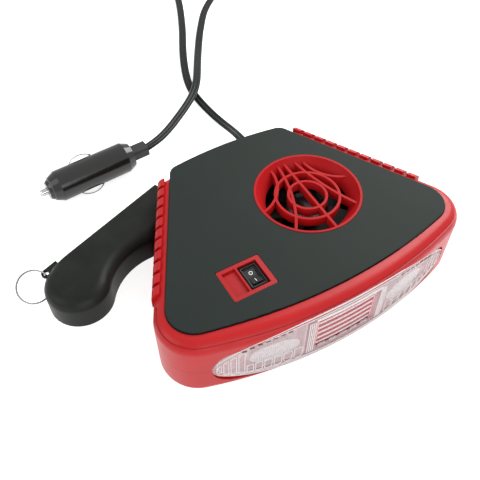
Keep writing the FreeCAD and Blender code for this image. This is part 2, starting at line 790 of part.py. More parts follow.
lower = shells.common(slab(-5, N["parting_height"]))
for x, y in boss_places():
    lower = lower.fuse(post(N["boss_radius"], x, y, N["foot_height"] + 1, N["parting_height"]))
tower_top = N["handle_bottom"] - N["pocket_gap"]
lower = lower.fuse(post(N["tower_radius"], pivot.x, pivot.y, N["foot_height"] + 1, tower_top))
lower = lower.removeSplitter()
base = N["foot_height"]
grommet_neck = N["grommet_radius"] - 1.2
rear_reach = (N["rear_half"] ** 2 + N["rear_bulge"] ** 2) / (2 * N["rear_bulge"]) + shell_rear
rear_centre = N["panel_depth"] + N["rear_bulge"] + shell_rear - rear_reach
exit_slope = math.asin(N["exit_x"] / rear_reach)
exit_at = Vector(N["exit_x"], rear_centre + rear_reach * math.cos(exit_slope), N["exit_height"])
exit_turn = Rotation(Vector(0, 0, 1), -math.degrees(exit_slope)).multiply(Rotation(Vector(1, 0, 0), -90))
holes = [post(N["screw_radius"], x, y, 0, 60) for x, y in boss_places()]
holes += [post(N["screw_head"] + 0.4, x, y, -1, base + 2.6) for x, y in boss_places()]
holes += [post(N["foot_radius"], x, y, -1, base + N["foot_sunk"]) for x, y in foot_places()]
holes.append(post(N["pin_radius"] + fit_gap, pivot.x, pivot.y, -1, 30))
holes.append(post(N["pin_head"] + 0.4, pivot.x, pivot.y, -1, base + N["pin_head_height"] + 0.6))
exit_way = exit_turn.multVec(Vector(0, 0, 1))
holes.append(Part.makeCylinder(grommet_neck, 26, exit_at - exit_way * 14, exit_way))
lower = lower.cut(holes)
feature("lower_shell", lower)


# ---------------------------------------------------------------- top panel
def panel_plan(grow):
    return outline(grow, grow, grow, N["panel_front_round"] + grow, N["panel_rear_round"] + grow)


plate = prism(panel_plan(0), panel_floor, top)
plate = plate.makeFillet(N["panel_edge_round"], rim_edges(plate, top))
skirt = prism(panel_plan(0), top - N["skirt_height"], panel_floor)
inside = outline(N["side_rim"], N["front_rim"], -N["panel_thick"], N["panel_front_round"], N["panel_rear_round"])
skirt = skirt.cut(prism(inside, 0, 80))
skirt = skirt.common(Part.makeBox(300, 60, 80, Vector(-150, N["panel_depth"] - 8, 0)))
panel = plate.fuse(skirt).removeSplitter()
panel = panel.cut(
    [
        post(N["inlet_radius"] + N["seat_gap"], N["inlet_x"], N["inlet_y"], 0, 80),
        Part.makeBox(
            N["surround_left"] + N["surround_right"] + 0.3,
            2 * N["surround_half"] + 0.3,
            60,
            Vector(
                N["switch_x"] - N["surround_left"] - neck_gap,
                N["switch_y"] - N["surround_half"] - neck_gap,
                20,
            ),
        ),
        pocket_form(0.3),
        post(N["pin_radius"] + 0.15, pivot.x, pivot.y, 30, pin_top + 0.15),
    ]
)
feature("top_panel", panel)


# ---------------------------------------------------------------- air inlet grille
# Each bar leaves the well's wall at its start angle, passes through a middle point and meets
# the wall again at its end angle; the middle point is measured from the inlet's centre.
BARS = (
    (105.0, 179.0, -13.2, 11.1),
    (94.0, 223.7, -7.6, 5.0),
    (86.0, 270.0, 1.1, -1.0),
    (74.0, 315.0, 14.0, -2.8),
    (63.6, 361.0, 18.6, 8.0),
)


def curved_bar(start, middle, end, width, low, high):
    path = arc(start, middle, end).Curve
    centre = path.Center
    sides = []
    for radius in (path.Radius - width / 2, path.Radius + width / 2):
        sides.append([centre + unit(p - centre) * radius for p in (start, middle, end)])
    inner_side, outer_side = sides
    wire = Part.Wire(
        [
            arc(*inner_side),
            line(inner_side[2], outer_side[2]),
            arc(*reversed(outer_side)),
            line(outer_side[0], inner_side[0]),
        ]
    )
    return prism(wire, low, high)


def inlet_grille():
    radius = N["inlet_radius"]
    wall = N["inlet_wall"]
    lip = top + 0.3
    bottom = top - N["well_depth"]
    taper = N["well_taper"]
    flange = radius + N["inlet_flange"]
    under = ceiling - 1.6
    profile = [
        Vector(radius - wall, 0, lip),
        Vector(radius, 0, lip),
        Vector(radius, 0, ceiling),
        Vector(flange, 0, ceiling),
        Vector(flange, 0, under),
        Vector(radius - taper / 2, 0, under),
        Vector(radius - taper, 0, bottom),
        Vector(radius - taper - wall, 0, bottom),
    ]
    wire = Part.makePolygon(profile + [profile[0]])
    well = Part.Face(wire).revolve(Vector(), Vector(0, 0, 1), 360)
    bar_top = lip - N["bar_drop"]
    bar_low = bar_top - N["bar_depth"]
    half = N["bar_width"] / 2
    parts = []
    for size in (N["ring_large"], N["ring_small"]):
        ring = post(size + half, 0, 0, bar_low, bar_top)
        parts.append(ring.cut(post(size - half, 0, 0, bar_low - 1, bar_top + 1)))
    reach = radius - wall / 2
    for start, end, x, y in BARS:
        bar = curved_bar(
            ring_of(reach, 0, 0, start), Vector(x, y, 0), ring_of(reach, 0, 0, end),
            N["bar_width"], bar_low, bar_top,
        )
        parts.append(bar)
    bars = parts[0].fuse(parts[1:])
    inside = Part.makeCone(
        radius - taper - wall / 2, reach, lip - bottom, Vector(0, 0, bottom)
    )
    return well.fuse(bars.common(inside)).removeSplitter()


feature("inlet_grille", inlet_grille(), at=(S.inlet_x, S.inlet_y, 0))


# ---------------------------------------------------------------- front lens, outlet and lamps
lens_skin = skin(N["lens_proud"], N["lens_thick"])
lens = almond(0).common(lens_skin).cut(window(N["seat_gap"]))
feature("front_lens", lens)

outlet_skin = skin(N["lens_proud"], N["outlet_depth"])
outlet = window(0).common(outlet_skin)
slats = int(N["slat_count"])
opening_high = N["window_top"] - N["window_bottom"] - 2 * N["outlet_frame"]
slat_pitch = (opening_high + N["slat_thick"]) / (slats + 1)
gap_high = slat_pitch - N["slat_thick"]
air_gaps = []
for i in range(slats + 1):
    low = N["window_bottom"] + N["outlet_frame"] + i * slat_pitch
    air_gaps.append(
        Part.makeBox(
            2 * (N["window_half"] - N["outlet_frame"]), 60, gap_high,
            Vector(-(N["window_half"] - N["outlet_frame"]), -60, low),
        )
    )
feature("outlet_grille", outlet.cut(air_gaps))


def led_direction(x):
    """Outward direction of the curved front at x."""
    centre, radius = front_circle(N["front_rim"])
    out = Vector(x, -math.sqrt(radius * radius - x * x), 0)
    return centre + out, unit(out)


def led_places(side):
    return [side * (N["led_middle"] + k * N["led_pitch"]) for k in (-1, 0, 1)]


lens_back = N["lens_thick"] + 0.3
dish_back = lens_back + N["reflector_depth"]
led_height = N["lens_tip_height"]
leds = []
for side, word in ((-1, "left"), (1, "right")):
    wall = N["reflector_wall"]
    dish = wing(side, 0).common(front_layer(-lens_back, dish_back))
    dish = dish.cut(wing(side, wall).common(front_layer(-lens_back + 1, dish_back - wall)))
    seats = []
    for x in led_places(side):
        spot, out = led_direction(x)
        back = spot - out * (dish_back + 0.45) + Vector(0, 0, led_height)
        seats.append(Part.makeCylinder(N["led_radius"] + 0.2, 5, back - out, out))
        body = Part.makeCylinder(N["led_radius"], N["led_length"] - N["led_radius"], back, out)
        dome = Part.makeSphere(N["led_radius"], back + out * (N["led_length"] - N["led_radius"]))
        leds.append(body.fuse(dome).removeSplitter())
    feature("lamp_reflector_" + word, dish.cut(seats))
    spot, out = led_direction(side * N["led_middle"])
    back = spot - out * (dish_back + 0.95)
    turn = Rotation(Vector(0, -1, 0), out)
    board = box(
        "board_" + word,
        (0, 0, 0),
        (S.board_long, S.board_thick, S.board_high),
    )
    local = Vector(-N["board_long"] / 2, 0, -N["board_high"] / 2)
    board.Placement = Placement(back + Vector(0, 0, led_height) + turn.multVec(local), turn)
    keep(board, "lamp_board_" + word)
feature("lamp_leds", Part.Compound(leds))


# ---------------------------------------------------------------- switch
def switch_body():
    wide, long = S.switch_wide, S.switch_long
    seat_z = S.overall_height - S.recess_depth
    inner_w = S.switch_wide - S.bezel_rim * 2
    inner_l = S.switch_long - S.bezel_rim * 2
    bezel = box(
        "bezel", (S.switch_x - wide / 2, S.switch_y - long / 2, seat_z), (wide, long, S.bezel_thick)
    )
    under_w = wide - S.bezel_lap
    under_l = long - S.bezel_lap
    can = box(
        "switch_can",
        (S.switch_x - under_w / 2, S.switch_y - under_l / 2, seat_z - S.switch_deep),
        (under_w, under_l, S.switch_deep),
    )
    well = box(
        "rocker_well",
        (S.switch_x - inner_w / 2, S.switch_y - inner_l / 2, seat_z - 5),
        (inner_w, inner_l, S.bezel_thick + 5.5),
    )
    reach = N["switch_wide"] / 2 - N["bezel_lap"] / 2 - 0.2
    bore = cylinder(
        "rocker_bore",
        (S.switch_x - reach, S.switch_y, seat_z + S.bezel_thick - S.rocker_drop),
        S.trunnion + S.bearing_gap,
        2 * reach,
        Rotation(Vector(0, 1, 0), 90),
    )
    return keep(cut("switch_form", fuse("switch_outer", bezel, can), well, bore), "switch_body")


def switch_rocker():
    """The rocker: a shallow V on top and a round belly, tilted with its rear side down."""
    gap = N["rocker_gap"]
    half_w = N["switch_wide"] / 2 - N["bezel_rim"] - gap
    half_l = N["switch_long"] / 2 - N["bezel_rim"] - gap - 0.15
    valley, lip, belly = 0.9, 1.9, -2.6
    wire = Part.Wire(
        [
            line(Vector(0, 0, valley), Vector(0, half_l, lip)),
            line(Vector(0, half_l, lip), Vector(0, half_l, -0.6)),
            arc(Vector(0, half_l, -0.6), Vector(0, 0, belly), Vector(0, -half_l, -0.6)),
            line(Vector(0, -half_l, -0.6), Vector(0, -half_l, lip)),
            line(Vector(0, -half_l, lip), Vector(0, 0, valley)),
        ]
    )
    face = Part.Face(wire)
    face.translate(Vector(-half_w, 0, 0))
    rocker = face.extrude(Vector(2 * half_w, 0, 0))
    reach = N["switch_wide"] / 2 - N["bezel_lap"] / 2 - 0.4
    rocker = rocker.fuse(
        Part.makeCylinder(N["trunnion"], 2 * reach, Vector(-reach, 0, 0), Vector(1, 0, 0))
    ).removeSplitter()
    at = (S.switch_x, S.switch_y, S.overall_height - S.recess_depth + S.bezel_thick - S.rocker_drop)
    return feature("switch_rocker", rocker, at=at, turn=Rotation(Vector(1, 0, 0), -N["rocker_tilt"]))


def switch_terminals():
    low = S.overall_height - S.recess_depth - S.switch_deep
    blades = []
    for i in (-1, 0, 1):
        blades.append(
            box(
                f"terminal_{i + 2}",
                (S.switch_x - 2.4, S.switch_y - 0.4 + 4.2 * i, low - 6),
                (4.8, 0.8, 6),
            )
        )
    return keep(group("terminals", *blades), "switch_terminals")


switch_body()
switch_rocker()
switch_terminals()


# ---------------------------------------------------------------- fan, motor and duct
def duct_plan(grow):
    """Round the fan, then a channel that narrows to the heater."""
    radius = N["scroll_radius"] + grow
    mouth = N["heater_half"] + 0.4 + grow
    y = N["heater_front"] + N["heater_depth"] + 0.2
    centre = Vector(N["inlet_x"], N["inlet_y"], 0)
    disc = Part.Face(Part.Wire(Part.makeCircle(radius, centre)))
    side = N["inlet_y"] - 6
    channel = Part.makePolygon(
        [
            Vector(-mouth, y, 0),
            Vector(mouth, y, 0),
            Vector(N["inlet_x"] + radius - 1, side, 0),
            Vector(N["inlet_x"] - radius + 1, side, 0),
            Vector(-mouth, y, 0),
        ]
    )
    return disc.fuse(Part.Face(channel)).removeSplitter()


def extruded(shape, low, high):
    solids = []
    for face in shape.Faces:
        face = face.copy()
        face.translate(Vector(0, 0, low))
        solids.append(face.extrude(Vector(0, 0, high - low)))
    return solids[0] if len(solids) == 1 else solids[0].fuse(solids[1:]).removeSplitter()


scroll = extruded(duct_plan(N["scroll_wall"]), floor_top, N["scroll_top"])
scroll = scroll.cut(extruded(duct_plan(0), floor_top - 1, N["scroll_top"] + 1))
feature("fan_scroll", scroll)


def motor_bracket():
    at = (S.inlet_x, S.inlet_y, S.foot_height + S.wall)
    disc = cylinder("bracket_disc", at, S.bracket_radius, S.bracket_thick)
    cup_outer = cylinder("bracket_cup", at, S.motor_radius + 1.6, 5)
    cup_inner = cylinder(
        "bracket_bore",
        (S.inlet_x, S.inlet_y, S.foot_height + S.wall + S.bracket_thick),
        S.motor_radius + 0.02,
        9,
    )
    ears = [
        cylinder(
            f"bracket_hole_{i}",
            (
                S.inlet_x + 15.4 * math.cos(math.radians(60 + 120 * i)),
                S.inlet_y + 15.4 * math.sin(math.radians(60 + 120 * i)),
                0,
            ),
            1.2,
            20,
        )
        for i in range(3)
    ]
    return keep(cut("bracket_form", fuse("bracket_outer", disc, cup_outer), cup_inner, *ears), "motor_bracket")


motor_bracket()

motor_low = S.foot_height + S.wall + S.bracket_thick
shaft_hole = S.shaft_radius + S.bearing_gap
turned(
    "fan_motor",
    [
        (shaft_hole, 0.5),
        (S.motor_radius, 0.5),
        (S.motor_radius, S.motor_height - 1.5),
        (S.motor_radius - 1.5, S.motor_height),
        (4.0, S.motor_height),
        (4.0, S.motor_height + 1.2),
        (shaft_hole, S.motor_height + 1.2),
    ],
    at=(S.inlet_x, S.inlet_y, motor_low - 0.5),
)

shaft_low = S.foot_height + S.wall + S.bracket_thick + 0.6
turned(
    "motor_shaft",
    [
        (0, 0),
        (S.shaft_radius, 0),
        (S.shaft_radius, S.hub_top - 2 - shaft_low),
        (0, S.hub_top - 2 - shaft_low),
    ],
    at=(S.inlet_x, S.inlet_y, shaft_low),
)


def fan_impeller():
    """Hub with a domed cap and curved, pitched blades made once and patterned."""
    height = N["hub_height"]
    radius = N["hub_radius"]
    shaft = N["shaft_radius"]
    low = N["hub_top"] - height
    profile = [
        Vector(shaft, 0, 0.8),
        Vector(4.2, 0, 0.8),
        Vector(4.2, 0, height - 3.2),
        Vector(radius - 1.4, 0, height - 3.2),
        Vector(radius - 1.4, 0, 0),
        Vector(radius, 0, 0),
        Vector(radius, 0, height - 1.2),
        Vector(radius - 1.2, 0, height),
        Vector(0, 0, height),
        Vector(0, 0, height - 2),
        Vector(shaft, 0, height - 2),
    ]
    hub = Part.Face(Part.makePolygon(profile + [profile[0]])).revolve(Vector(), Vector(0, 0, 1), 360)
    blades = []
    pitch = math.radians(N["blade_pitch"])
    chord = (height - 2.4) / math.sin(pitch)
    for i in range(int(N["blade_count"])):
        blade = Part.makeBox(N["impeller_radius"], chord, N["blade_thick"])
        blade.translate(Vector(radius - 1.0, -chord / 2, -N["blade_thick"] / 2))
        blade.rotate(Vector(), Vector(1, 0, 0), N["blade_pitch"])
        blade.translate(Vector(0, 0, height / 2))
        blade.rotate(Vector(), Vector(0, 0, 1), i * 360 / N["blade_count"])
        blades.append(blade)
    disc = post(N["impeller_radius"], 0, 0, 0.6, height - 0.6).cut(post(radius - 0.7, 0, 0, 0, height))
    swept = [blade.common(disc) for blade in blades]
    impeller = hub.fuse(swept).removeSplitter()
    return feature("fan_impeller", impeller, at=(S.inlet_x, S.inlet_y, S.hub_top - S.hub_height))


fan_impeller()


# ---------------------------------------------------------------- heater behind the outlet
def heater():
    low = S.window_bottom - 2
    high = S.window_top + 2
    depth = S.heater_depth
    y = S.heater_front
    outer_frame = box("heater_outer", (-S.heater_half, y, low), (S.heater_half * 2, depth, high - low))
    rail = S.heater_rail
    inner_frame = box(
        "heater_inner",
        (rail - S.heater_half, y - 1, low + rail),
        ((S.heater_half - rail) * 2, depth + 2, high - low - rail * 2),
    )
    keep(cut("heater_frame_form", outer_frame, inner_frame), "heater_frame")
    middle = (float(low) + float(high)) / 2
    half = N["heater_half"] - N["heater_rail"]
    span = float(high) - float(low) - 2 * N["heater_rail"]
    core = N["core_high"] / 2
    bank = []
    for sign in (-1, 1):
        reach = span / 2 - core
        rail_low = middle + sign * core if sign > 0 else middle - core - 0.8
        bank.append(Part.makeBox(2 * half, 8, 0.8, Vector(-half, float(y) + 1.5, rail_low)))
        start = middle + core if sign > 0 else middle - core - reach
        count = int((2 * half - N["fin_thick"]) / N["fin_pitch"])
        first = -count * N["fin_pitch"] / 2 - N["fin_thick"] / 2
        for i in range(count + 1):
            bank.append(
                Part.makeBox(
                    N["fin_thick"], 8, reach,
                    Vector(first + i * N["fin_pitch"], float(y) + 1.5, start),
                )
            )
    lower_bank = bank[: len(bank) // 2]
    upper_bank = bank[len(bank) // 2:]
    fins = [half_bank[0].fuse(half_bank[1:]).removeSplitter() for half_bank in (lower_bank, upper_bank)]
    feature("heater_fins", Part.Compound(fins))
    stones = Part.makeBox(2 * half, 7, N["core_high"], Vector(-half, float(y) + 2, middle - core))
    feature("heater_stones", stones)
    tabs = [
        Part.makeBox(0.8, 6.0, N["core_high"] - 0.4, Vector(x, float(y) + 9.1, middle - core + 0.2))
        for x in (-half + 2, half - 2.8)
    ]
    feature("heater_terminals", Part.Compound(tabs))


heater()
turned(
    "thermal_cutout",
    [(0, 0), (5.0, 0), (5.0, 3.0), (3.6, 4.4), (0, 4.4)],
    at=(-9, S.heater_front + S.heater_depth + 10, S.foot_height + S.wall),
)


# ---------------------------------------------------------------- handle and hinge
def place_handle(item):
    item.Placement = Placement(pivot, Rotation(Vector(0, 0, 1), N["handle_angle"]))
    item.setExpression("Placement.Base.x", S.pivot_x.text)
    item.setExpression("Placement.Base.y", S.pivot_y.text)
    item.setExpression("Placement.Rotation.Angle", S.handle_angle.text)
    return item


def handle_part(label, shape):
    return place_handle(feature(label, shape))


split = N["handle_split"]
plan = handle_outline()
screw_spots = ((34.0, 0.0), (84.0, 2.0))
bore = post(N["pin_radius"] + N["bearing_gap"], 0, 0, 0, 60)

grip = prism(plan, split, N["handle_top"])
soft_edges = []
crisp_edges = []
for edge in rim_edges(grip, N["handle_top"]):
    centre = edge.CenterOfMass
    on_edge = abs(centre.y + N["grip_edge"]) < 0.1 or centre.x < N["neck_start"] + 0.1
    (crisp_edges if on_edge else soft_edges).append(edge)
grip = grip.makeFillet(N["handle_round"], soft_edges)
crisp_edges = [
    e for e in rim_edges(grip, N["handle_top"])
    if abs(e.CenterOfMass.y + N["grip_edge"]) < 0.1
]
grip = grip.makeFillet(N["handle_edge"], crisp_edges)
eye_low = N["eye_height"] - N["eye_thick"] / 2
eye_high = N["eye_height"] + N["eye_thick"] / 2
lug = post(N["eye_radius"], N["eye_along"], -N["eye_out"], eye_low, eye_high)
lug = lug.fuse(
    Part.makeBox(
        N["eye_along"] - N["eye_root"],
        N["eye_out"] + N["eye_radius"] - N["grip_edge"] + 0.5,
        N["eye_thick"],
        Vector(N["eye_root"], -N["eye_out"] - N["eye_radius"], eye_low),
    )
)
lug = lug.fuse(
    Part.makeBox(4.5, 5.0, N["eye_thick"], Vector(N["eye_along"] - 8, -N["grip_edge"] - 1, eye_low))
)
grip = grip.fuse(lug).removeSplitter()
pilots = [post(1.2, x, y, split - 1, split + 9) for x, y in screw_spots]
grip = grip.cut([bore, post(N["eye_hole"], N["eye_along"], -N["eye_out"], 0, 60)] + pilots)
handle_part("handle_upper", grip)

under = prism(plan, N["handle_bottom"], split)
under = under.makeFillet(N["handle_foot_round"], rim_edges(under, N["handle_bottom"]))
clear = [post(1.2, x, y, 0, 40) for x, y in screw_spots]
clear += [post(2.5, x, y, 0, N["handle_bottom"] + 2.4) for x, y in screw_spots]
handle_part("handle_lower", under.cut([bore] + clear))

screws = []
for x, y in screw_spots:
    head = post(2.3, x, y, N["handle_bottom"] + 0.6, N["handle_bottom"] + 2.4)
    screws.append(head.fuse(post(1.18, x, y, N["handle_bottom"] + 2.4, split + 8)).removeSplitter())
handle_part("handle_screws", Part.Compound(screws))

pin_low = S.foot_height + 0.6
turned(
    "hinge_pin",
    [
        (0, 0),
        (S.pin_head, 0),
        (S.pin_head, S.pin_head_height),
        (S.pin_radius, S.pin_head_height),
        (S.pin_radius, S.handle_top + S.pocket_gap + S.pocket_wall - pin_low),
        (0, S.handle_top + S.pocket_gap + S.pocket_wall - pin_low),
    ],
    at=(S.pivot_x, S.pivot_y, pin_low),
)
turned(
    "hinge_washer",
    [
        (S.pin_radius + 0.05, 0),
        (S.washer_radius, 0),
        (S.washer_radius, S.washer_thick),
        (S.pin_radius + 0.05, S.washer_thick),
    ],
    at=(S.pivot_x, S.pivot_y, S.handle_bottom - S.pocket_gap),
)


def key_ring():
    """Two turns of wire side by side, upright, its near side through the eye."""
    radius = N["key_ring_radius"]
    wire = N["key_ring_wire"]
    tilt = math.radians(N["key_ring_tilt"])
    eye = Vector(N["eye_along"], -N["eye_out"], N["eye_height"])
    middle = eye + Vector(math.cos(tilt), 0, -math.sin(tilt)) * radius
    turns = []
    for side in (-0.84, 0.84):
        turns.append(Part.makeTorus(radius, wire, middle + Vector(0, side * wire, 0), Vector(0, 1, 0)))
    handle_part("key_ring", turns[0].fuse(turns[1]).removeSplitter())


key_ring()


# ---------------------------------------------------------------- plug
plug_turn = Rotation(Vector(0, 0, 1), N["plug_angle"])
lie = plug_turn.multiply(Rotation(Vector(0, 1, 0), 90))
plug_at = (S.plug_x, S.plug_y, S.plug_lift)

wall_in = S.plug_radius - S.barrel_wall
barrel_inside = wall_in.value
barrel_end = N["barrel_end"]
barrel_profile = [
    Vector(barrel_inside, 0, N["nose_end"]),
    Vector(N["plug_radius"], 0, N["nose_end"]),
    Vector(N["plug_radius"], 0, barrel_end - N["tail_chamfer"]),
    Vector(N["plug_radius"] - 2.2, 0, barrel_end),
    Vector(5.6, 0, barrel_end),
    Vector(5.6, 0, barrel_end - 3),
    Vector(barrel_inside, 0, barrel_end - N["tail_chamfer"]),
]
shell = Part.Face(Part.makePolygon(barrel_profile + barrel_profile[:1]))
shell = shell.revolve(Vector(), Vector(0, 0, 1), 360)
slot_gap = 0.3
slots = []
for sign in (-1, 1):
    slot = Part.makeBox(
        N["contact_wide"] + 2 * slot_gap,
        N["plug_radius"],
        N["contact_end"] - N["contact_start"] + 2 * slot_gap,
        Vector(-N["contact_wide"] / 2 - slot_gap, 0, N["contact_start"] - slot_gap),
    )
    slot.translate(Vector(0, 2, 0))
    if sign < 0:
        slot = slot.mirror(Vector(), Vector(0, 1, 0))
    slots.append(slot)
# A channel each side inside the barrel guides the contacts as they go in.
guides = []
for sign in (-1, 1):
    rail_low = N["contact_start"] - 3
    guide = Part.makeBox(
        8, 1.2, N["contact_end"] - N["contact_start"] + 6, Vector(-4, 4.4, rail_low)
    )
    side_wall = Part.makeBox(1.2, 5.2, N["contact_end"] - N["contact_start"] + 6, Vector(-4, 4.4, rail_low))
    other_wall = Part.makeBox(1.2, 5.2, N["contact_end"] - N["contact_start"] + 6, Vector(2.8, 4.4, rail_low))
    channel = guide.fuse([side_wall, other_wall]).removeSplitter()
    if sign < 0:
        channel = channel.mirror(Vector(), Vector(0, 1, 0))
    guides.append(channel)
plug_shell = shell.cut(slots).fuse(guides).removeSplitter()
# The barrel's own Z runs along the plug; its contacts lie along its Y, turned by contact_roll.
roll = Rotation(Vector(0, 0, 1), N["contact_roll"])
stand = lie.multiply(roll)
feature("plug_shell", plug_shell, at=plug_at, turn=stand)

turned(
    "plug_nose_cap",
    [
        (S.tip_radius + 0.05, S.nose_start),
        (S.nose_radius - 0.6, S.nose_start),
        (S.nose_radius, S.nose_start + 0.6),
        (S.nose_radius + 1.0, S.nose_start + 2.2),
        (S.nose_radius + 1.7, S.nose_start + 2.6),
        (S.plug_radius - 0.3, S.nose_end),
        (wall_in - 0.1, S.nose_end),
        (wall_in - 0.1, S.nose_end + 4),
        (wall_in - 1.5, S.nose_end + 4),
        (wall_in - 1.5, S.nose_end),
        (S.nose_radius - 0.9, S.nose_start + 4.4),
        (S.tip_radius + 0.05, S.nose_start + 4.4),
    ],
    at=plug_at,
    turn=stand,
)
collar = S.tip_radius + 1.2
turned(
    "plug_tip_pin",
    [
        (0, 0),
        (S.tip_radius * 0.5, 0),
        (S.tip_radius, S.tip_radius * 0.6),
        (S.tip_radius, S.nose_start + 4.7),
        (collar, S.nose_start + 4.7),
        (collar, S.nose_start + 6.2),
        (0, S.nose_start + 6.2),
    ],
    at=plug_at,
    turn=stand,
)
fuse_start = N["nose_start"] + 6.2 + N["tip_travel"] + 3.5
spring_start = N["nose_start"] + 6.5
spring = post(N["tip_radius"] + 0.6, 0, 0, spring_start, fuse_start - 0.1)
spring = spring.cut(post(N["tip_radius"] + 0.1, 0, 0, spring_start - 1, fuse_start))
feature("plug_tip_spring", spring, at=plug_at, turn=stand)
fuse_body = post(N["fuse_radius"], 0, 0, fuse_start, fuse_start + N["fuse_length"])
feature("plug_fuse", fuse_body, at=plug_at, turn=stand)


def side_contact(sign):
    """A bowed strip of sprung steel that looks out of the barrel's slot, its ends under the wall."""
    start, end = N["contact_start"], N["contact_end"]
    thick = N["contact_thick"]
    tab = N["contact_tab"]
    foot = math.sqrt(barrel_inside**2 - (N["contact_wide"] / 2) ** 2) - thick - 0.1
    crest = N["plug_radius"] + N["contact_out"]
    middle = (start + end) / 2
    low = [Vector(0, foot, start), Vector(0, crest - thick, middle), Vector(0, foot, end)]
    high = [Vector(0, foot + thick, start), Vector(0, crest, middle), Vector(0, foot + thick, end)]
    first = [Vector(0, foot + thick, start - tab), Vector(0, foot, start - tab)]
    last = [Vector(0, foot, end + tab), Vector(0, foot + thick, end + tab)]
    wire = Part.Wire(
        [
            arc(*low),
            line(low[2], last[0]),
            line(last[0], last[1]),
            line(last[1], high[2]),
            arc(*reversed(high)),
            line(high[0], first[0]),
            line(first[0], first[1]),
            line(first[1], low[0]),
        ]
    )
    face = Part.Face(wire)
    face.translate(Vector(-N["contact_wide"] / 2, 0, 0))
    strip = face.extrude(Vector(N["contact_wide"], 0, 0))
    return strip if sign > 0 else strip.mirror(Vector(), Vector(0, 1, 0))


feature("plug_contact_upper", side_contact(1), at=plug_at, turn=stand)
feature("plug_contact_lower", side_contact(-1), at=plug_at, turn=stand)

sleeve = Part.makeBox(
    2 * N["sleeve_half"],
    8.0,
    N["sleeve_length"],
    Vector(-N["sleeve_half"], -4.0, N["barrel_end"] + 0.1),
)
sleeve = sleeve.makeFillet(2.2, [e for e in sleeve.Edges if e.BoundBox.ZLength > 5])
sleeve = sleeve.fuse(post(5.4, 0, 0, N["barrel_end"] - 5, N["barrel_end"] + 0.1)).removeSplitter()
feature("plug_sleeve", sleeve, at=plug_at, turn=plug_turn.multiply(Rotation(Vector(0, 1, 0), 90)).multiply(Rotation(Vector(0, 0, 1), 90)))


# ---------------------------------------------------------------- lead, grommet and coil
between = S.wall + 0.2
turned(
    "cord_grommet",
    [
        (0, 0),
        (grommet_neck + 1.2, 0),
        (grommet_neck + 1.2, 1.4),
        (grommet_neck - 0.05, 1.4),
        (grommet_neck - 0.05, 1.4 + between),
        (S.grommet_radius, 1.4 + between),
        (S.grommet_radius, 3.0 + between),
        (S.cord_radius + 1.6, 3.6 + between),
        (S.cord_radius + 0.6, 1.4 + between + S.grommet_length),
        (0, 1.4 + between + S.grommet_length),
    ],
    at=tuple(exit_at - exit_way * (1.5 + N["wall"])),
    turn=exit_turn,
)
lead_from = exit_at + exit_way * (N["grommet_length"] + 0.15)
lead_next = lead_from + exit_way * 13
plug_end = Vector(*[float(c) for c in plug_at]) + plug_turn.multVec(
    Vector(N["barrel_end"] + 0.9 + N["sleeve_length"], 0, 0)
)
tail_next = plug_end + plug_turn.multVec(Vector(10, 2.2, -0.3))
ground = N["cord_radius"] + 0.05
COIL = Vector(124.0, 388.0, 0)
LEAD = (
    tuple(lead_from),
    tuple(lead_next),
    (31.8, 142.0, 11.4),
    (33.6, 156.5, 7.4),
    (33.6, 171.5, 4.2),
    (32.7, 187.0, ground),
    (31.9, 203.0, ground),
    (32.4, 219.0, ground),
    (36.5, 236.0, ground),
    (44.5, 257.0, ground),
    (54.5, 279.0, ground),
    (64.5, 299.0, ground),
    (73.0, 318.0, ground),
    (81.0, 337.0, ground),
    (90.0, 356.0, ground),
    (97.5, 376.0, ground),
    (100.5, 396.0, ground),
)
TAIL = (
    tuple(plug_end),
    tuple(tail_next),
    (-6.0, 178.5, 9.0),
    (7.0, 189.0, 8.6),
    (18.5, 198.5, 8.6),
    (29.5, 209.0, 8.6),
    (38.0, 220.5, 8.4),
    (46.0, 235.0, 6.6),
    (55.0, 252.0, 4.0),
    (65.0, 270.0, ground),
    (75.5, 288.0, ground),
    (86.5, 305.0, ground),
    (97.5, 321.0, ground),
    (110.0, 337.0, ground),
    (124.0, 352.0, ground),
    (138.5, 365.0, ground),
    (148.0, 380.0, ground),
)


def cord_tube(points, radius, word):
    """Straight runs joined by tangent arcs, swept with a round section."""
    points = [Vector(*p) for p in points]
    edges = []
    here = points[0]
    least = 1e9
    for before, at, after in zip(points, points[1:], points[2:]):
        back, ahead = unit(before - at), unit(after - at)
        turn = math.pi - back.getAngle(ahead)
        run = min((before - at).Length, (after - at).Length)
        radius_here = 0.45 * run / math.tan(turn / 2)
        least = min(least, radius_here)
        start = at + back * (0.45 * run)
        end = at + ahead * (0.45 * run)
        to_centre = unit(back + ahead)
        depth = radius_here / math.cos(turn / 2) - radius_here
        edges.append(line(here, start))
        edges.append(arc(start, at + to_centre * depth, end))
        here = end
    edges.append(line(here, points[-1]))
    path = Part.Wire(edges)
    circle = Part.Wire(Part.makeCircle(radius, points[0], unit(points[1] - points[0])))
    tube = path.makePipeShell([circle], True, False)
    expected = math.pi * radius**2 * path.Length
    print(word, "length", round(path.Length, 1), "least radius", round(least, 1),
          "volume ratio", round(tube.Volume / expected, 4))
    return tube


feature("cord_lead", cord_tube(LEAD, N["cord_radius"], "cord_lead"))
feature("cord_tail", cord_tube(TAIL, N["cord_radius"], "cord_tail"))


def coil_solid():
    inner, outside, height = N["coil_inner"], N["coil_outer"], N["coil_height"]
    edge = 2.5
    profile = [
        Vector(inner, 0, edge),
        Vector(inner + edge, 0, 0),
        Vector(outside - edge, 0, 0),
        Vector(outside, 0, edge),
        Vector(outside, 0, height - edge),
        Vector(outside - edge, 0, height),
        Vector(inner + edge, 0, height),
        Vector(inner, 0, height - edge),
    ]
    return Part.Face(Part.makePolygon(profile + [profile[0]])).revolve(Vector(), Vector(0, 0, 1), 360)


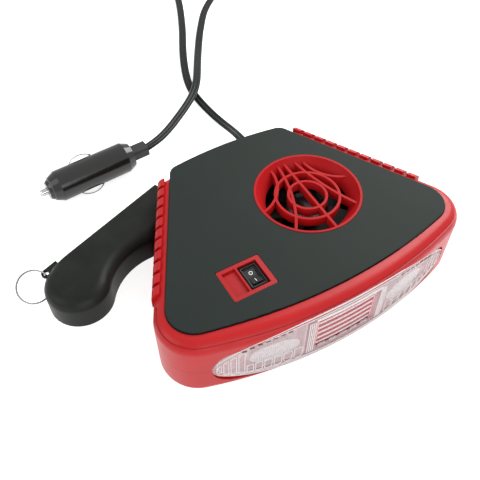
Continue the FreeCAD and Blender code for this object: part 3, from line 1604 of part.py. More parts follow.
coil_low = N["tie_thick"] + 0.1
feature("cord_coil", coil_solid(), at=(COIL.x, COIL.y, coil_low))


def coil_tie():
    """A flat strap round the put-away turns at their far side."""
    gap = 0.1
    start = N["coil_inner"] - gap
    across = N["coil_outer"] - start + gap
    wide, thick = N["tie_wide"], N["tie_thick"]
    high = N["coil_height"] + 2 * gap
    strap = Part.makeBox(across + 2 * thick, wide, high + 2 * thick, Vector(start - thick, -wide / 2, 0))
    strap = strap.makeFillet(2.0, [e for e in strap.Edges if e.BoundBox.YLength > wide / 2])
    return strap.cut(Part.makeBox(across, 3 * wide, high, Vector(start, -wide, thick)))


feature("coil_tie", coil_tie(), at=(COIL.x, COIL.y, 0), turn=Rotation(Vector(0, 0, 1), 60))


# ---------------------------------------------------------------- fasteners and feet
feet = []
for i, (x, y) in enumerate(
    (
        (0, 0),
        (S.foot_front_x, S.foot_front_y),
        (-S.foot_front_x, S.foot_front_y),
        (S.foot_rear_x, S.foot_rear_y),
        (-S.foot_rear_x, S.foot_rear_y),
    )
):
    feet.append(
        cylinder(f"foot_{i}", (x, y, 0), S.foot_radius - 0.05, S.foot_height + S.foot_sunk)
    )
keep(group("feet", *feet), "rubber_feet")

housing_screws = []
for x, y in boss_places():
    head_low = base + 0.7
    head = post(N["screw_head"], x, y, head_low, base + 2.6)
    shank = post(N["screw_radius"] - 0.02, x, y, base + 2.6, N["parting_height"] + 12)
    housing_screws.append(head.fuse(shank).removeSplitter())
feature("housing_screws", Part.Compound(housing_screws))


# ---------------------------------------------------------------- check and write
doc.recompute()
for item in doc.Objects:
    if "Invalid" in item.State or "Error" in item.State:
        raise RuntimeError(f"{item.Label} did not compute: {item.State}")
os.makedirs("parts", exist_ok=True)
failed = [i.Label for i in subparts if i.Shape.isNull() or not i.Shape.isValid() or not i.Shape.Solids]
if failed:
    raise RuntimeError(f"no valid solid: {failed}")
for item in subparts:
    shape = item.Shape
    shape.exportStep(f"parts/{item.Label}.step")
    print(item.Label, len(shape.Solids), "solids", round(shape.Volume, 1), "mm3", len(shape.Faces), "faces")
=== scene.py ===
import json
import math
import bmesh
import bpy
from mathutils import Matrix, Vector


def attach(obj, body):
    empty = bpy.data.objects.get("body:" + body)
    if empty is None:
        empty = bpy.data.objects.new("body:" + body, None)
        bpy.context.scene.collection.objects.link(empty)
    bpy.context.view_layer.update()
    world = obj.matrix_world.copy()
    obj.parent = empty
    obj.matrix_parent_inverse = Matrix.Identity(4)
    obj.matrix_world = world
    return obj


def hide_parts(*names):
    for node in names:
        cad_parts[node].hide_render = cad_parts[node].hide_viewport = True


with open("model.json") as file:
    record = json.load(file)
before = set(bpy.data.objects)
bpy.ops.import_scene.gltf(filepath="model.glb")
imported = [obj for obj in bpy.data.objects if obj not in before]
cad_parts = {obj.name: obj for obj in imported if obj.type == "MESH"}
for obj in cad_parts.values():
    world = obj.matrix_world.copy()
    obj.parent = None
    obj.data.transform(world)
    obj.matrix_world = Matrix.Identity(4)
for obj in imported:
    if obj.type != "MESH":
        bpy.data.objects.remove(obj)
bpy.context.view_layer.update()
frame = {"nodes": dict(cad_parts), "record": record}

mm = 0.001
nodes = frame["nodes"]


# ---- shader maths as expressions
class Signal:
    def __init__(self, finish, socket):
        self.finish = finish
        self.socket = socket

    def __add__(self, other):
        return self.finish.maths("ADD", self, other)

    def __radd__(self, other):
        return self.finish.maths("ADD", other, self)

    def __sub__(self, other):
        return self.finish.maths("SUBTRACT", self, other)

    def __rsub__(self, other):
        return self.finish.maths("SUBTRACT", other, self)

    def __mul__(self, other):
        return self.finish.maths("MULTIPLY", self, other)

    def __rmul__(self, other):
        return self.finish.maths("MULTIPLY", other, self)

    def __truediv__(self, other):
        return self.finish.maths("DIVIDE", self, other)

    def __gt__(self, other):
        return self.finish.maths("GREATER_THAN", self, other)

    def __lt__(self, other):
        return self.finish.maths("LESS_THAN", self, other)

    def size(self):
        return self.finish.maths("ABSOLUTE", self, 0)

    def clamp(self):
        return self.finish.node("ShaderNodeClamp", {}, {"Value": self})


class Finish:
    def __init__(self, name, color, **sockets):
        self.material = bpy.data.materials.new(name)
        self.material.use_nodes = True
        self.tree = self.material.node_tree
        self.shader = self.tree.nodes["Principled BSDF"]
        self.shader.inputs["Base Color"].default_value = (*color, 1)
        for name, value in sockets.items():
            self.shader.inputs[name.replace("_", " ")].default_value = value

    def node(self, kind, settings, inputs, out=0):
        made = self.tree.nodes.new(kind)
        for name, value in settings.items():
            setattr(made, name, value)
        for name, value in inputs.items():
            if isinstance(value, Signal):
                self.tree.links.new(value.socket, made.inputs[name])
            else:
                made.inputs[name].default_value = value
        return Signal(self, made.outputs[out])

    def maths(self, operation, a, b):
        return self.node("ShaderNodeMath", {"operation": operation}, {0: a, 1: b})

    def feed(self, socket, signal):
        self.tree.links.new(signal.socket, self.shader.inputs[socket])

    def place(self, scale=(1, 1, 1), turn=(0, 0, 0), at=(0, 0, 0)):
        here = self.node("ShaderNodeTexCoord", {}, {}, out="Object")
        return self.node(
            "ShaderNodeMapping",
            {},
            {"Vector": here, "Scale": scale, "Rotation": turn, "Location": at},
        )

    def parts(self, vector):
        split = self.node("ShaderNodeSeparateXYZ", {}, {"Vector": vector}).socket.node
        return [Signal(self, split.outputs[k]) for k in range(3)]

    def noise(self, scale, detail=2.0, rough=0.5, stretch=(1, 1, 1)):
        return self.node(
            "ShaderNodeTexNoise",
            {},
            {"Vector": self.place(stretch), "Scale": scale, "Detail": detail, "Roughness": rough},
        )

    def tint(self, factor, low, high):
        return self.node(
            "ShaderNodeMix",
            {"data_type": "RGBA"},
            {"Factor": factor, "A": (*low, 1), "B": (*high, 1)},
            out="Result",
        )

    def bump(self, height, distance, strength=1.0):
        made = self.node(
            "ShaderNodeBump", {}, {"Height": height, "Distance": distance, "Strength": strength}
        )
        self.feed("Normal", made)


def srgb(r, g, b):
    return tuple(
        v / 12.92 if v <= 0.04045 else ((v + 0.055) / 1.055) ** 2.4
        for v in (r / 255, g / 255, b / 255)
    )


# ---- finishes
redMould = {"color": (0.58, 0.017, 0.019), "dark": (0.43, 0.012, 0.015), "seam": 22.5}
red = Finish("redMould", redMould["color"], Specular_IOR_Level=0.24)
here = [axis / mm for axis in red.parts(red.place())]
seam = (here[2] - redMould["seam"]).size() < 0.16
# painted shade: in a box around the switch well the red is pushed to its dark tone, standing in for the shade in that
# recess; elsewhere the mottle is random tone
switchWellShade = ((here[0] + 40) .size() < 18) * ((here[1] - 12).size() < 15) * (here[2] > 40)
shade = red.tint(red.noise(28, 3) - switchWellShade, redMould["dark"], redMould["color"])
red.feed(
    "Base Color",
    red.node(
        "ShaderNodeMix",
        {"data_type": "RGBA"},
        {"Factor": seam * 0.75, "A": shade, "B": (0.06, 0.004, 0.005, 1)},
        out="Result",
    ),
)
red.feed("Roughness", 0.27 + 0.14 * red.noise(140, 2))
red.bump(red.noise(1300, 2) - 3 * seam, 0.00002)

# painted shade: a darker copy of the housing red, used on the sunk inlet grille to stand in for the shade in its well
shadedInletRed = {"color": (0.5, 0.012, 0.014), "dark": (0.4, 0.009, 0.011)}
shadedInlet = Finish("shadedInletRed", shadedInletRed["color"], Specular_IOR_Level=0.1)
shadedInlet.feed("Base Color", shadedInlet.tint(shadedInlet.noise(28, 3), shadedInletRed["dark"], shadedInletRed["color"]))
shadedInlet.feed("Roughness", 0.4 + 0.14 * shadedInlet.noise(140, 2))
shadedInlet.bump(shadedInlet.noise(1300, 2), 0.00002)

topSheet = {"color": (0.018, 0.0235, 0.0205), "pale": (0.029, 0.0365, 0.033)}
panel = Finish("topSheet", topSheet["color"], Specular_IOR_Level=0.09)
grain = panel.noise(1100, 3, 0.65)
cloud = panel.noise(26, 2)
upward = panel.parts(panel.node("ShaderNodeNewGeometry", {}, {}, out="Normal"))[2]
mottle = panel.tint(0.6 * grain + 0.4 * cloud, topSheet["color"], topSheet["pale"])
# painted shade: faces that do not face up are painted near black, standing in for the shadow gap between the panel
# and the red rim
panel.feed(
    "Base Color",
    panel.node(
        "ShaderNodeMix",
        {"data_type": "RGBA"},
        {"Factor": upward > 0.55, "A": (0.004, 0.004, 0.004, 1), "B": mottle},
        out="Result",
    ),
)
panel.feed("Roughness", 0.5 + 0.16 * grain)
panel.bump(grain, 0.00005)

satinBlack = {"color": (0.0045, 0.005, 0.0045), "pale": (0.024, 0.027, 0.024), "split": 16.0}
satin = Finish("satinBlack", satinBlack["color"], Specular_IOR_Level=0.12)
split = (satin.parts(satin.place())[2] / mm - satinBlack["split"]).size() < 0.22
# painted shade: upright faces get only half the pale mottle, so the side walls are darker than the top; the dark line
# at the split height is the parting line
upright = satin.parts(satin.node("ShaderNodeNewGeometry", {}, {}, out="Normal"))[2] < 0.35
cloud = satin.noise(60, 3) * (1 - 0.5 * upright) - 2 * split
satin.feed("Base Color", satin.tint(cloud.clamp(), satinBlack["color"], satinBlack["pale"]))
satin.feed("Roughness", 0.34 + 0.12 * satin.noise(500, 2))
satin.bump(satin.noise(1300, 2) - 6 * split, 0.00004)

glossBlack = {"color": (0.009, 0.0095, 0.009), "pale": (0.014, 0.015, 0.014)}
gloss = Finish("glossBlack", glossBlack["color"])
gloss.feed("Base Color", gloss.tint(gloss.noise(70, 3), glossBlack["color"], glossBlack["pale"]))
gloss.feed("Roughness", 0.12 + 0.1 * gloss.noise(260, 2))
gloss.bump(gloss.noise(240, 2), 0.00003)

plain = {"color": (0.008, 0.0085, 0.008), "pale": (0.014, 0.015, 0.014)}
black = Finish("plainBlack", plain["color"], Specular_IOR_Level=0.3)
black.feed("Base Color", black.tint(black.noise(90, 3), plain["color"], plain["pale"]))
black.feed("Roughness", 0.34 + 0.2 * black.noise(300, 2))
black.bump(black.noise(1400, 2), 0.00002)

# painted reflection: the clear cover gets a pale pink base at low alpha, standing in for the reflections that make
# the clear lens look whitish
clearCover = {"paintedReflection": (0.9, 0.8, 0.82), "alpha": 0.2}
cover = Finish("clearCover", clearCover["paintedReflection"], Roughness=0.08, IOR=1.49)
cloud = cover.noise(500, 2, stretch=(1, 1, 0.12))
cover.feed("Alpha", clearCover["alpha"] - 0.06 + 0.2 * cloud)
cover.bump(cloud, 0.0002)

# painted highlight: the relief on the clear lens is near white and mostly opaque, standing in for the glints along
# its ridges
crystal = Finish("lensRelief", (0.95, 0.93, 0.94), Roughness=0.1, IOR=1.49)
crystal.feed("Alpha", 0.5 + 0.4 * crystal.noise(700, 2))
crystal.bump(crystal.noise(700, 2), 0.00004)

mirror = Finish("mirrorCoat", (0.88, 0.7, 0.71), Metallic=0.4, Roughness=0.3)
mirror.feed("Roughness", 0.28 + 0.14 * mirror.noise(200, 2))
mirror.feed("Base Color", mirror.tint(mirror.noise(160, 3), (0.8, 0.46, 0.49), (0.92, 0.82, 0.82)))
# dark red used only for the painted shadows along the lens's top edge
deepRed = Finish("deepRed", (0.14, 0.02, 0.024), Roughness=0.4)
deepRed.feed("Base Color", deepRed.tint(deepRed.noise(300, 2), (0.1, 0.014, 0.018), (0.2, 0.04, 0.045)))
# painted light: the red slats get pink to pale colours standing in for strong light on red plastic
litSlatTone = {"color": (0.8, 0.26, 0.29), "pale": (0.92, 0.5, 0.52)}
litSlatRed = Finish("litSlatRed", litSlatTone["color"], Specular_IOR_Level=0.4)
litSlatRed.feed("Base Color", litSlatRed.tint(litSlatRed.noise(260, 3), litSlatTone["color"], litSlatTone["pale"]))
litSlatRed.feed("Roughness", 0.25 + 0.15 * litSlatRed.noise(300, 2))
board = Finish("greenBoard", srgb(30, 92, 52), Roughness=0.4)
board.feed("Base Color", board.tint(board.noise(300, 1) > 0.55, srgb(30, 92, 52), srgb(44, 120, 66)))
led = Finish("ledDome", (0.9, 0.9, 0.86), Roughness=0.1)
led.feed("Roughness", 0.08 + 0.06 * led.noise(300, 2))
brass = Finish("brass", (0.75, 0.58, 0.3), Metallic=1.0)
brass.feed("Roughness", 0.24 + 0.2 * brass.noise(400, 3))
steel = Finish("brightSteel", (0.5, 0.49, 0.47), Metallic=1.0)
steel.feed("Roughness", 0.1 + 0.14 * steel.noise(600, 3))
springSteel = Finish("springSteel", (0.19, 0.185, 0.175), Metallic=1.0)
springSteel.feed("Roughness", 0.12 + 0.14 * springSteel.noise(600, 3))
finMetal = Finish("finMetal", (0.78, 0.79, 0.8), Metallic=1.0)
finMetal.feed("Roughness", 0.3 + 0.2 * finMetal.noise(500, 3))
stone = Finish("ceramic", srgb(96, 90, 84), Roughness=0.7)
stone.feed("Base Color", stone.tint(stone.noise(400, 3), srgb(84, 78, 72), srgb(108, 101, 95)))
stone.bump(stone.noise(900, 3), 0.00003)
nylon = Finish("nylon", srgb(200, 197, 188))
nylon.feed("Roughness", 0.42 + 0.2 * nylon.noise(400, 2))
rubber = Finish("blackRubber", (0.012, 0.0125, 0.012))
rubber.feed("Roughness", 0.5 + 0.2 * rubber.noise(300, 2))
rubber.bump(rubber.noise(900, 3), 0.00003)
cable = Finish("cableSleeve", (0.006, 0.0085, 0.0085), Specular_IOR_Level=0.14)
cable.feed("Roughness", 0.22 + 0.12 * cable.noise(120, 2))
cable.bump(cable.noise(700, 2), 0.00003)
paint = Finish("whitePrint", (0.85, 0.86, 0.84))
paint.feed("Roughness", 0.4 + 0.2 * paint.noise(600, 2))
print("finishes made")

finishOf = {
    "red": red, "panel": panel, "satin": satin, "black": black, "lens": cover, "reflector": mirror,
    "board": board, "led": led, "brass": brass, "steel": steel, "aluminium": finMetal,
    "stone": stone, "nylon": nylon, "rubber": rubber, "cable": cable,
}
for part in frame["record"]["subparts"]:
    mesh = nodes[part["node"]].data
    mesh.materials.clear()
    mesh.materials.append(finishOf[part["material_slot"]].material)
# the inlet grille gets the painted-shade copy of the red
nodes["inlet_grille"].data.materials[0] = shadedInlet.material
for name in ("plug_shell", "plug_nose_cap"):
    nodes[name].data.materials[0] = gloss.material
for name in ("plug_contact_upper", "plug_contact_lower"):
    nodes[name].data.materials[0] = springSteel.material


# ---- camera
view = {"at": (-132.7, -141.5, 289.4), "towards": (-30.3, 34.9, 46.0), "lens": 45.0}
lookData = bpy.data.cameras.new("photoCamera")
lookData.lens = view["lens"]
lookData.sensor_width = 36
lookData.clip_start = 0.01
look = bpy.data.objects.new("photoCamera", lookData)
bpy.context.scene.collection.objects.link(look)
look.location = Vector(view["at"]) * mm
look.rotation_euler = (Vector(view["towards"]) - Vector(view["at"])).to_track_quat("-Z", "Y").to_euler()
bpy.context.scene.camera = look


# ---- pieces made from bmesh, in millimetres until they are finished
def finished(name, work, finish, body="housing", smooth=40):
    bmesh.ops.remove_doubles(work, verts=work.verts, dist=1e-6)
    bmesh.ops.recalc_face_normals(work, faces=work.faces)
    mesh = bpy.data.meshes.new(name)
    work.to_mesh(mesh)
    work.free()
    piece = bpy.data.objects.new(name, mesh)
    bpy.context.scene.collection.objects.link(piece)
    mesh.materials.append(finish.material)
    mesh.shade_smooth()
    mesh.set_sharp_from_angle(angle=math.radians(smooth))
    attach(piece, body)
    return piece


def moved(work, place):
    for v in work.verts:
        v.co = place(v.co) * mm


# the housing's front: an upright cylinder with rounded top and bottom edges
front = {"centre": 233.92, "radius": 258.92, "roundTop": 38.3, "topRound": 6.9, "roundLow": 7.5, "lowRound": 5.9}


def onFront(flat):
    x, z, out = flat
    sink = 0
    for over, size in ((z - front["roundTop"], front["topRound"]), (front["roundLow"] - z, front["lowRound"])):
        if over > 0:
            sink = size - math.sqrt(max(size * size - over * over, 0.01))
    reach = front["radius"] + out - sink
    return Vector((x, front["centre"] - math.sqrt(reach * reach - x * x), z))


almond = {"half": 74.6, "middle": 21.5, "over": 20.8, "under": 17.0}


def almondEdge(x, reach, sharp, full):
    return reach * max(1 - (abs(x) / almond["half"]) ** sharp, 0) ** full


def lensTop(x):
    return almond["middle"] + almondEdge(x, almond["over"], 3.2, 0.571)


def lensLow(x):
    return almond["middle"] - almondEdge(x, almond["under"], 2.6, 0.476)


# ---- relief on the lens: flutes with round feet, ribbed ovals before the lamps, beads along its edges
relief = {
    "fluteFirst": 72.3, "flutePitch": 3.3, "fluteGrow": 0.3, "fluteGap": 0.75, "flutes": 10,
    "line": 0.36, "rise": 0.32, "footLast": 9.9, "footDrop": 8.1, "footFade": 2.2,
    "oval": (41.4, 22.1, 13.6, 7.9), "ovalOut": -1.9, "ovalRise": 0.4, "ribPitch": 1.2, "ribRise": 0.3,
    "frameLines": (20.6, 21.7, 22.8, 23.9), "frameSpan": (11.0, 38.2),
    "sunk": 0.5, "fluteShort": 58, "shortTop": 18.6,
}
window = {"half": 19.7, "low": 12.6, "high": 37.4, "inner": 17.5, "innerLow": 9.6, "innerHigh": 34.4, "deep": 2.2}


def onCover(flat):
    return onFront((flat[0], flat[1], flat[2] - relief["sunk"]))


def strip(work, start, end, level, wide, rise, steps=40):
    for v in bmesh.ops.create_grid(work, x_segments=steps, y_segments=4, size=0.5)["verts"]:
        x = start + (end - start) * (v.co.x + 0.5)
        across = 2 * v.co.y
        v.co = Vector((x, level(x) + across * wide / 2, rise * (1 - across**2) - 0.05))


def post(work, x, low, high, wide, rise):
    for v in bmesh.ops.create_grid(work, x_segments=4, y_segments=12, size=0.5)["verts"]:
        across = 2 * v.co.x
        v.co = Vector((x + across * wide / 2, low + (high - low) * (v.co.y + 0.5), rise * (1 - across**2) - 0.05))


def flute(work, start, end, low):
    half = abs(end - start) / 2
    middle = (start + end) / 2
    made = bmesh.ops.create_circle(work, cap_ends=True, segments=24, radius=half)["verts"]
    cap = made[0].link_faces[0]
    for v in made:
        high = lensTop(v.co.x + middle) - 4.2 if abs(middle) > relief["fluteShort"] else relief["shortTop"]
        v.co.y = high + v.co.y * 0.4 if v.co.y > 0.01 else low + half + v.co.y
        v.co.x += middle
    rim = bmesh.ops.inset_individual(work, faces=[cap], thickness=relief["line"], depth=0)["faces"]
    top = bmesh.ops.extrude_face_region(work, geom=rim, use_keep_orig=True)["geom"]
    bmesh.ops.translate(work, verts=[g for g in top if isinstance(g, bmesh.types.BMVert)], vec=(0, 0, relief["rise"]))
    bmesh.ops.delete(work, geom=[cap], context="FACES_ONLY")


def between(low, high, share):
    return low + (high - low) * share


# the cover: a grid drawn out to the almond, opened before the outlet, with a lip that slopes in to the slats
work = bmesh.new()
share = 0.125
lowShare, highShare = (
    (window[end] - lensLow(window["half"])) / (lensTop(window["half"]) - lensLow(window["half"]))
    for end in ("low", "high")
)
opened = []
for v in bmesh.ops.create_grid(work, x_segments=160, y_segments=40, size=0.5)["verts"]:
    u, w = abs(v.co.x), v.co.y
    outward = max(u - share, 0) / (0.5 - share)
    x = math.copysign(between(window["half"], almond["half"], outward) if outward else window["half"] * u / share, v.co.x)
    low, high = lensLow(x), lensTop(x)
    lowLine = between(low, high, lowShare) if outward else window["low"]
    highLine = between(low, high, highShare) if outward else window["high"]
    if w < -0.3:
        z = between(low, lowLine, (w + 0.5) / 0.2)
    elif w > 0.3:
        z = between(highLine, high, (w - 0.3) / 0.2)
    else:
        z = between(lowLine, highLine, (w + 0.3) / 0.6)
    v.tag = u < share + 1e-4 and abs(w) < 0.3 + 1e-4
    v.co = Vector((x, z, 0))
hole = [f for f in work.faces if all(v.tag for v in f.verts)]
bmesh.ops.delete(work, geom=hole, context="FACES")
lip = [e for e in work.edges if e.is_boundary and all(v.tag for v in e.verts)]
made = bmesh.ops.extrude_edge_only(work, edges=lip)["geom"]
middle = (window["low"] + window["high"]) / 2
for v in [g for g in made if isinstance(g, bmesh.types.BMVert)]:
    inner = window["innerLow"] if v.co.y < middle else window["innerHigh"]
    outer = window["low"] if v.co.y < middle else window["high"]
    v.co = Vector((
        v.co.x * window["inner"] / window["half"],
        middle + (v.co.y - middle) * (inner - middle) / (outer - middle),
        relief["sunk"] - window["deep"],
    ))
bmesh.ops.solidify(work, geom=work.faces[:], thickness=0.8)
moved(work, onCover)
lens = finished("lensCover", work, cover)
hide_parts("front_lens")

work = bmesh.new()
for side in (-1, 1):
    x = relief["fluteFirst"]
    for k in range(relief["flutes"]):
        pitch = relief["flutePitch"] + relief["fluteGrow"] * k
        foot = relief["footLast"] + relief["footDrop"] * math.exp(-k / relief["footFade"])
        flute(work, side * x, side * (x - pitch + relief["fluteGap"]), foot)
        x -= pitch
moved(work, onCover)
finished("lensFlutes", work, crystal)

work = bmesh.new()
for side in (-1, 1):
    midX, midZ, halfX, halfZ = relief["oval"]
    for v in bmesh.ops.create_grid(work, x_segments=120, y_segments=16, size=1)["verts"]:
        u, w = v.co.x, v.co.y
        across = u * math.sqrt(1 - w * w / 2)
        up = w * math.sqrt(1 - u * u / 2)
        dome = max(1 - across**2 - up**2, 0)
        x = midX + halfX * across
        rib = relief["ribRise"] * math.cos(2 * math.pi * x / relief["ribPitch"]) * min(1, 4 * dome)
        v.co = Vector((side * x, midZ + halfZ * up, relief["ovalOut"] + relief["ovalRise"] * math.sqrt(dome) + rib))
bmesh.ops.solidify(work, geom=work.faces[:], thickness=-0.1)
moved(work, onFront)
finished("lampOvals", work, crystal)

work = bmesh.new()
strip(work, -20.5, 20.5, lambda x: 38.5, 1.9, 0.4)
for inset, reach in ((0.5, 72), (1.7, 48)):
    strip(work, -reach, reach, lambda x: lensTop(x) - inset, 0.45, 0.3, 90)
for inset, reach in ((0.9, 72), (2.3, 70), (3.7, 67)):
    strip(work, -reach, reach, lambda x: lensLow(x) + inset, 0.35, 0.3, 90)
for x in relief["frameLines"]:
    for side in (-1, 1):
        post(work, side * x, *relief["frameSpan"], 0.5, 0.3)
bmesh.ops.solidify(work, geom=work.faces[:], thickness=-0.1)
moved(work, onCover)
finished("lensBeads", work, crystal)

# the outlet: four slats with near-white strips on their front edges as painted highlight, over a castellated sill, in
# a frame
outlet = {"half": 17.4, "frame": 0.9, "slats": (30.8, 26.2, 21.6, 16.9, 12.4), "thick": 1.7, "depth": 6.0,
          "blocks": 5, "blockPitch": 6.95, "blockWide": 4.4, "blockLow": 9.4, "blockHigh": 11.1}


def brick(work, x0, x1, z0, z1, front, back, segments=16):
    made = bmesh.ops.create_cube(work, size=1)["verts"]
    for v in made:
        v.co = Vector((between(x0, x1, v.co.x + 0.5), between(z0, z1, v.co.y + 0.5), between(back, front, v.co.z + 0.5)))
    own = set(made)
    edges = [e for e in work.edges if own.issuperset(e.verts) and abs(e.verts[0].co.x - e.verts[1].co.x) > 0.1]
    if segments > 1:
        bmesh.ops.subdivide_edges(work, edges=edges, cuts=segments - 1)


work = bmesh.new()
deep = -window["deep"]
for z in outlet["slats"]:
    brick(work, -outlet["half"], outlet["half"], z - outlet["thick"] / 2, z + outlet["thick"] / 2, deep - 0.5, deep - outlet["depth"])
for z in (window["innerLow"] - 0.4, window["innerHigh"] - 0.5):
    brick(work, -outlet["half"], outlet["half"], z, z + outlet["frame"], deep, deep - outlet["depth"])
for side in (-1, 1):
    brick(work, side * outlet["half"], side * (outlet["half"] + 0.9), 9.2, 34.8, deep, deep - outlet["depth"], 1)
moved(work, onFront)
slats = finished("outletSlats", work, litSlatRed)
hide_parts("outlet_grille")
work = bmesh.new()
for z in outlet["slats"]:
    strip(work, -outlet["half"], outlet["half"], lambda x: z, outlet["thick"], 0.5)
    for v in work.verts:
        if v.co.z > -0.2:
            v.co.z += deep - 0.5
for k in range(outlet["blocks"]):
    x = (k - (outlet["blocks"] - 1) / 2) * outlet["blockPitch"]
    brick(work, x - outlet["blockWide"] / 2, x + outlet["blockWide"] / 2, outlet["blockLow"], outlet["blockHigh"], deep + 0.5, deep - 0.2, 4)
moved(work, onFront)
finished("outletEdges", work, crystal)
# painted shadow: short dark red blocks set under the cover along its top edge, standing in for the shadows between
# the flute tops and the reflector's edge
dashes = {"start": 35.0, "pitch": 3.9, "long": 2.3, "count": 7, "drop": 3.1, "high": 0.9}
work = bmesh.new()
for side in (-1, 1):
    for k in range(dashes["count"]):
        x = side * (dashes["start"] + dashes["pitch"] * k)
        z = lensTop(x) - dashes["drop"]
        brick(work, x - dashes["long"] / 2, x + dashes["long"] / 2, z, z + dashes["high"], -0.2, -0.6, 3)
moved(work, onFront)
finished("fluteTopShadows", work, deepRed)
print("lens relief made")


# ---- marks on the rocker: a ring at the rear, a bar at the front, on its two slopes
marks = {
    "axis": (-35.7, 12.0, 42.6), "tilt": -6.0, "slope": 11.42, "level": 1.44,
    "along": 2.6, "ring": 1.1, "stroke": 0.36, "bar": 2.4, "thick": 0.06,
}


def onSlope(verts, side):
    lean = Matrix.Rotation(math.radians(side * marks["slope"]), 3, "X")
    for v in verts:
        v.co = lean @ v.co + Vector((0, side * marks["along"], marks["level"]))


work = bmesh.new()
cap = bmesh.ops.create_circle(work, cap_ends=True, segments=40, radius=marks["ring"])["verts"][0].link_faces[0]
bmesh.ops.inset_individual(work, faces=[cap], thickness=marks["stroke"], depth=0)
bmesh.ops.delete(work, geom=[cap], context="FACES_ONLY")
top = bmesh.ops.extrude_face_region(work, geom=work.faces[:], use_keep_orig=True)["geom"]
bmesh.ops.translate(work, verts=[g for g in top if isinstance(g, bmesh.types.BMVert)], vec=(0, 0, marks["thick"]))
onSlope(work.verts, 1)
bar = bmesh.ops.create_cube(work, size=1)["verts"]
bmesh.ops.scale(work, verts=bar, vec=(marks["stroke"], marks["bar"], 2 * marks["thick"]))
onSlope(bar, -1)
tilt = Matrix.Rotation(math.radians(marks["tilt"]), 3, "X")
moved(work, lambda at: tilt @ at + Vector(marks["axis"]))
finished("rockerMarks", work, paint, body="rocker")
print("rocker marks made")

# ---- the switch's raised bezel: a frame with a broad chamfer outside
bezel = {"at": (-35.7, 12.0, 43.925), "size": (10.5, 15.0, 2.45), "rim": 1.95, "chamfer": 0.9, "soft": 0.25}
work = bmesh.new()
bmesh.ops.create_cube(work, size=1)
bmesh.ops.scale(work, verts=work.verts, vec=bezel["size"])
caps = [f for f in work.faces if abs(f.normal.z) > 0.9]
bmesh.ops.inset_individual(work, faces=caps, thickness=bezel["rim"], depth=0)
bmesh.ops.delete(work, geom=caps, context="FACES_ONLY")
bmesh.ops.bridge_loops(work, edges=[e for e in work.edges if e.is_boundary])
rims = [
    e for e in work.edges
    if all(v.co.z > 0 for v in e.verts) and e.calc_face_angle() > 1
]
outside = [e for e in rims if any(abs(v.co.x) > 4.6 or abs(v.co.y) > 6.9 for v in e.verts)]
inside = [e for e in rims if e not in outside]
bmesh.ops.bevel(work, geom=outside, offset=bezel["chamfer"], affect="EDGES", segments=1, profile=0.5, material=-1)
inside = [e for e in inside if e.is_valid]
bmesh.ops.bevel(work, geom=inside, offset=bezel["soft"], affect="EDGES", segments=2, profile=0.5, material=-1)
moved(work, lambda at: at + Vector(bezel["at"]))
finished("switchBezel", work, black, smooth=30)
print("bezel made")


# ---- the key ring: a split ring, two turns of steel wire side by side
hoop = {"centre": (-134.308, 77.34, 25.025), "eye": (-125.651, 80.715, 27.0), "radius": 9.0, "wire": 0.48, "lean": -45.0, "turns": 2, "steps": 56}
middle = Vector(hoop["centre"])
outward = (middle - Vector(hoop["eye"])).normalized()
upward = (Vector((0, 0, 1)) - outward * outward.z).normalized()
lean = Matrix.Rotation(math.radians(hoop["lean"]), 3, outward)
flank = lean @ outward.cross(upward)
upward = lean @ upward
work = bmesh.new()
ring = bmesh.ops.create_circle(work, segments=12, radius=hoop["wire"])["verts"]
flat = [v.co.copy() for v in ring]
loop = work.edges[:]
fresh = ring
for k in range(hoop["turns"] * hoop["steps"] + 7):
    angle = 2 * math.pi * k / hoop["steps"] + 2.2
    spoke = outward * math.cos(angle) + flank * math.sin(angle)
    at = middle + spoke * hoop["radius"] + upward * (hoop["wire"] * 2.1 * (k / hoop["steps"] / hoop["turns"] - 0.5))
    if k:
        made = bmesh.ops.extrude_edge_only(work, edges=loop)["geom"]
        fresh = [g for g in made if isinstance(g, bmesh.types.BMVert)]
        own = set(fresh)
        loop = [g for g in made if isinstance(g, bmesh.types.BMEdge) and own.issuperset(g.verts)]
    for v, shape in zip(fresh, flat):
        v.co = at + spoke * shape.x + upward * shape.y
bmesh.ops.holes_fill(work, edges=[e for e in work.edges if e.is_boundary])
moved(work, lambda at: at)
keyRing = finished("splitRing", work, springSteel, body="key_ring")
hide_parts("key_ring")
print("key ring made")


# ---- the lead: one flat twin cord from the housing to the plug, with its spare length coiled
lead = {
    "wide": 6.4,
    "thick": 3.4,
    "ground": 1.6,
    "exit": (28.473, 114.462, 14.0),
    "out": [
        (30.1, 127.4, 14.0), (31.8, 142.0, 11.4), (33.6, 156.5, 6.6), (33.6, 171.5, 3.0),
        (32.7, 187.0, 1.6), (31.9, 203.0, 1.6), (32.4, 219.0, 1.6), (36.5, 236.0, 1.6),
        (44.5, 257.0, 1.6), (54.5, 279.0, 1.6), (64.5, 299.0, 1.6), (73.0, 318.0, 1.6),
        (81.0, 337.0, 1.6), (88.0, 356.0, 1.8), (92.5, 374.0, 2.4),
    ],
    "coil": (124.0, 388.0), "startAngle": 149.7, "turns": 4.5,
    "radii": (33.8, 23.4), "layer": 3.5, "low": 1.9,
    "back": [
        (150.0, 366.0, 5.0), (139.0, 356.0, 3.0), (125.0, 347.0, 1.6), (111.0, 335.0, 1.6),
        (97.5, 321.0, 1.6), (86.5, 305.0, 1.6), (75.5, 288.0, 1.6), (65.0, 270.0, 1.7),
        (55.0, 252.0, 3.4), (46.0, 235.0, 5.6), (38.0, 220.5, 7.2), (29.5, 209.0, 7.4),
        (18.5, 198.5, 7.6), (7.0, 189.0, 8.0), (-6.0, 178.5, 8.8), (-19.5, 169.2, 10.2),
    ],
    "end": (-29.3, 165.9, 10.6),
}
route = [lead["exit"], *lead["out"]]
steps = 14
outer, inner = lead["radii"]
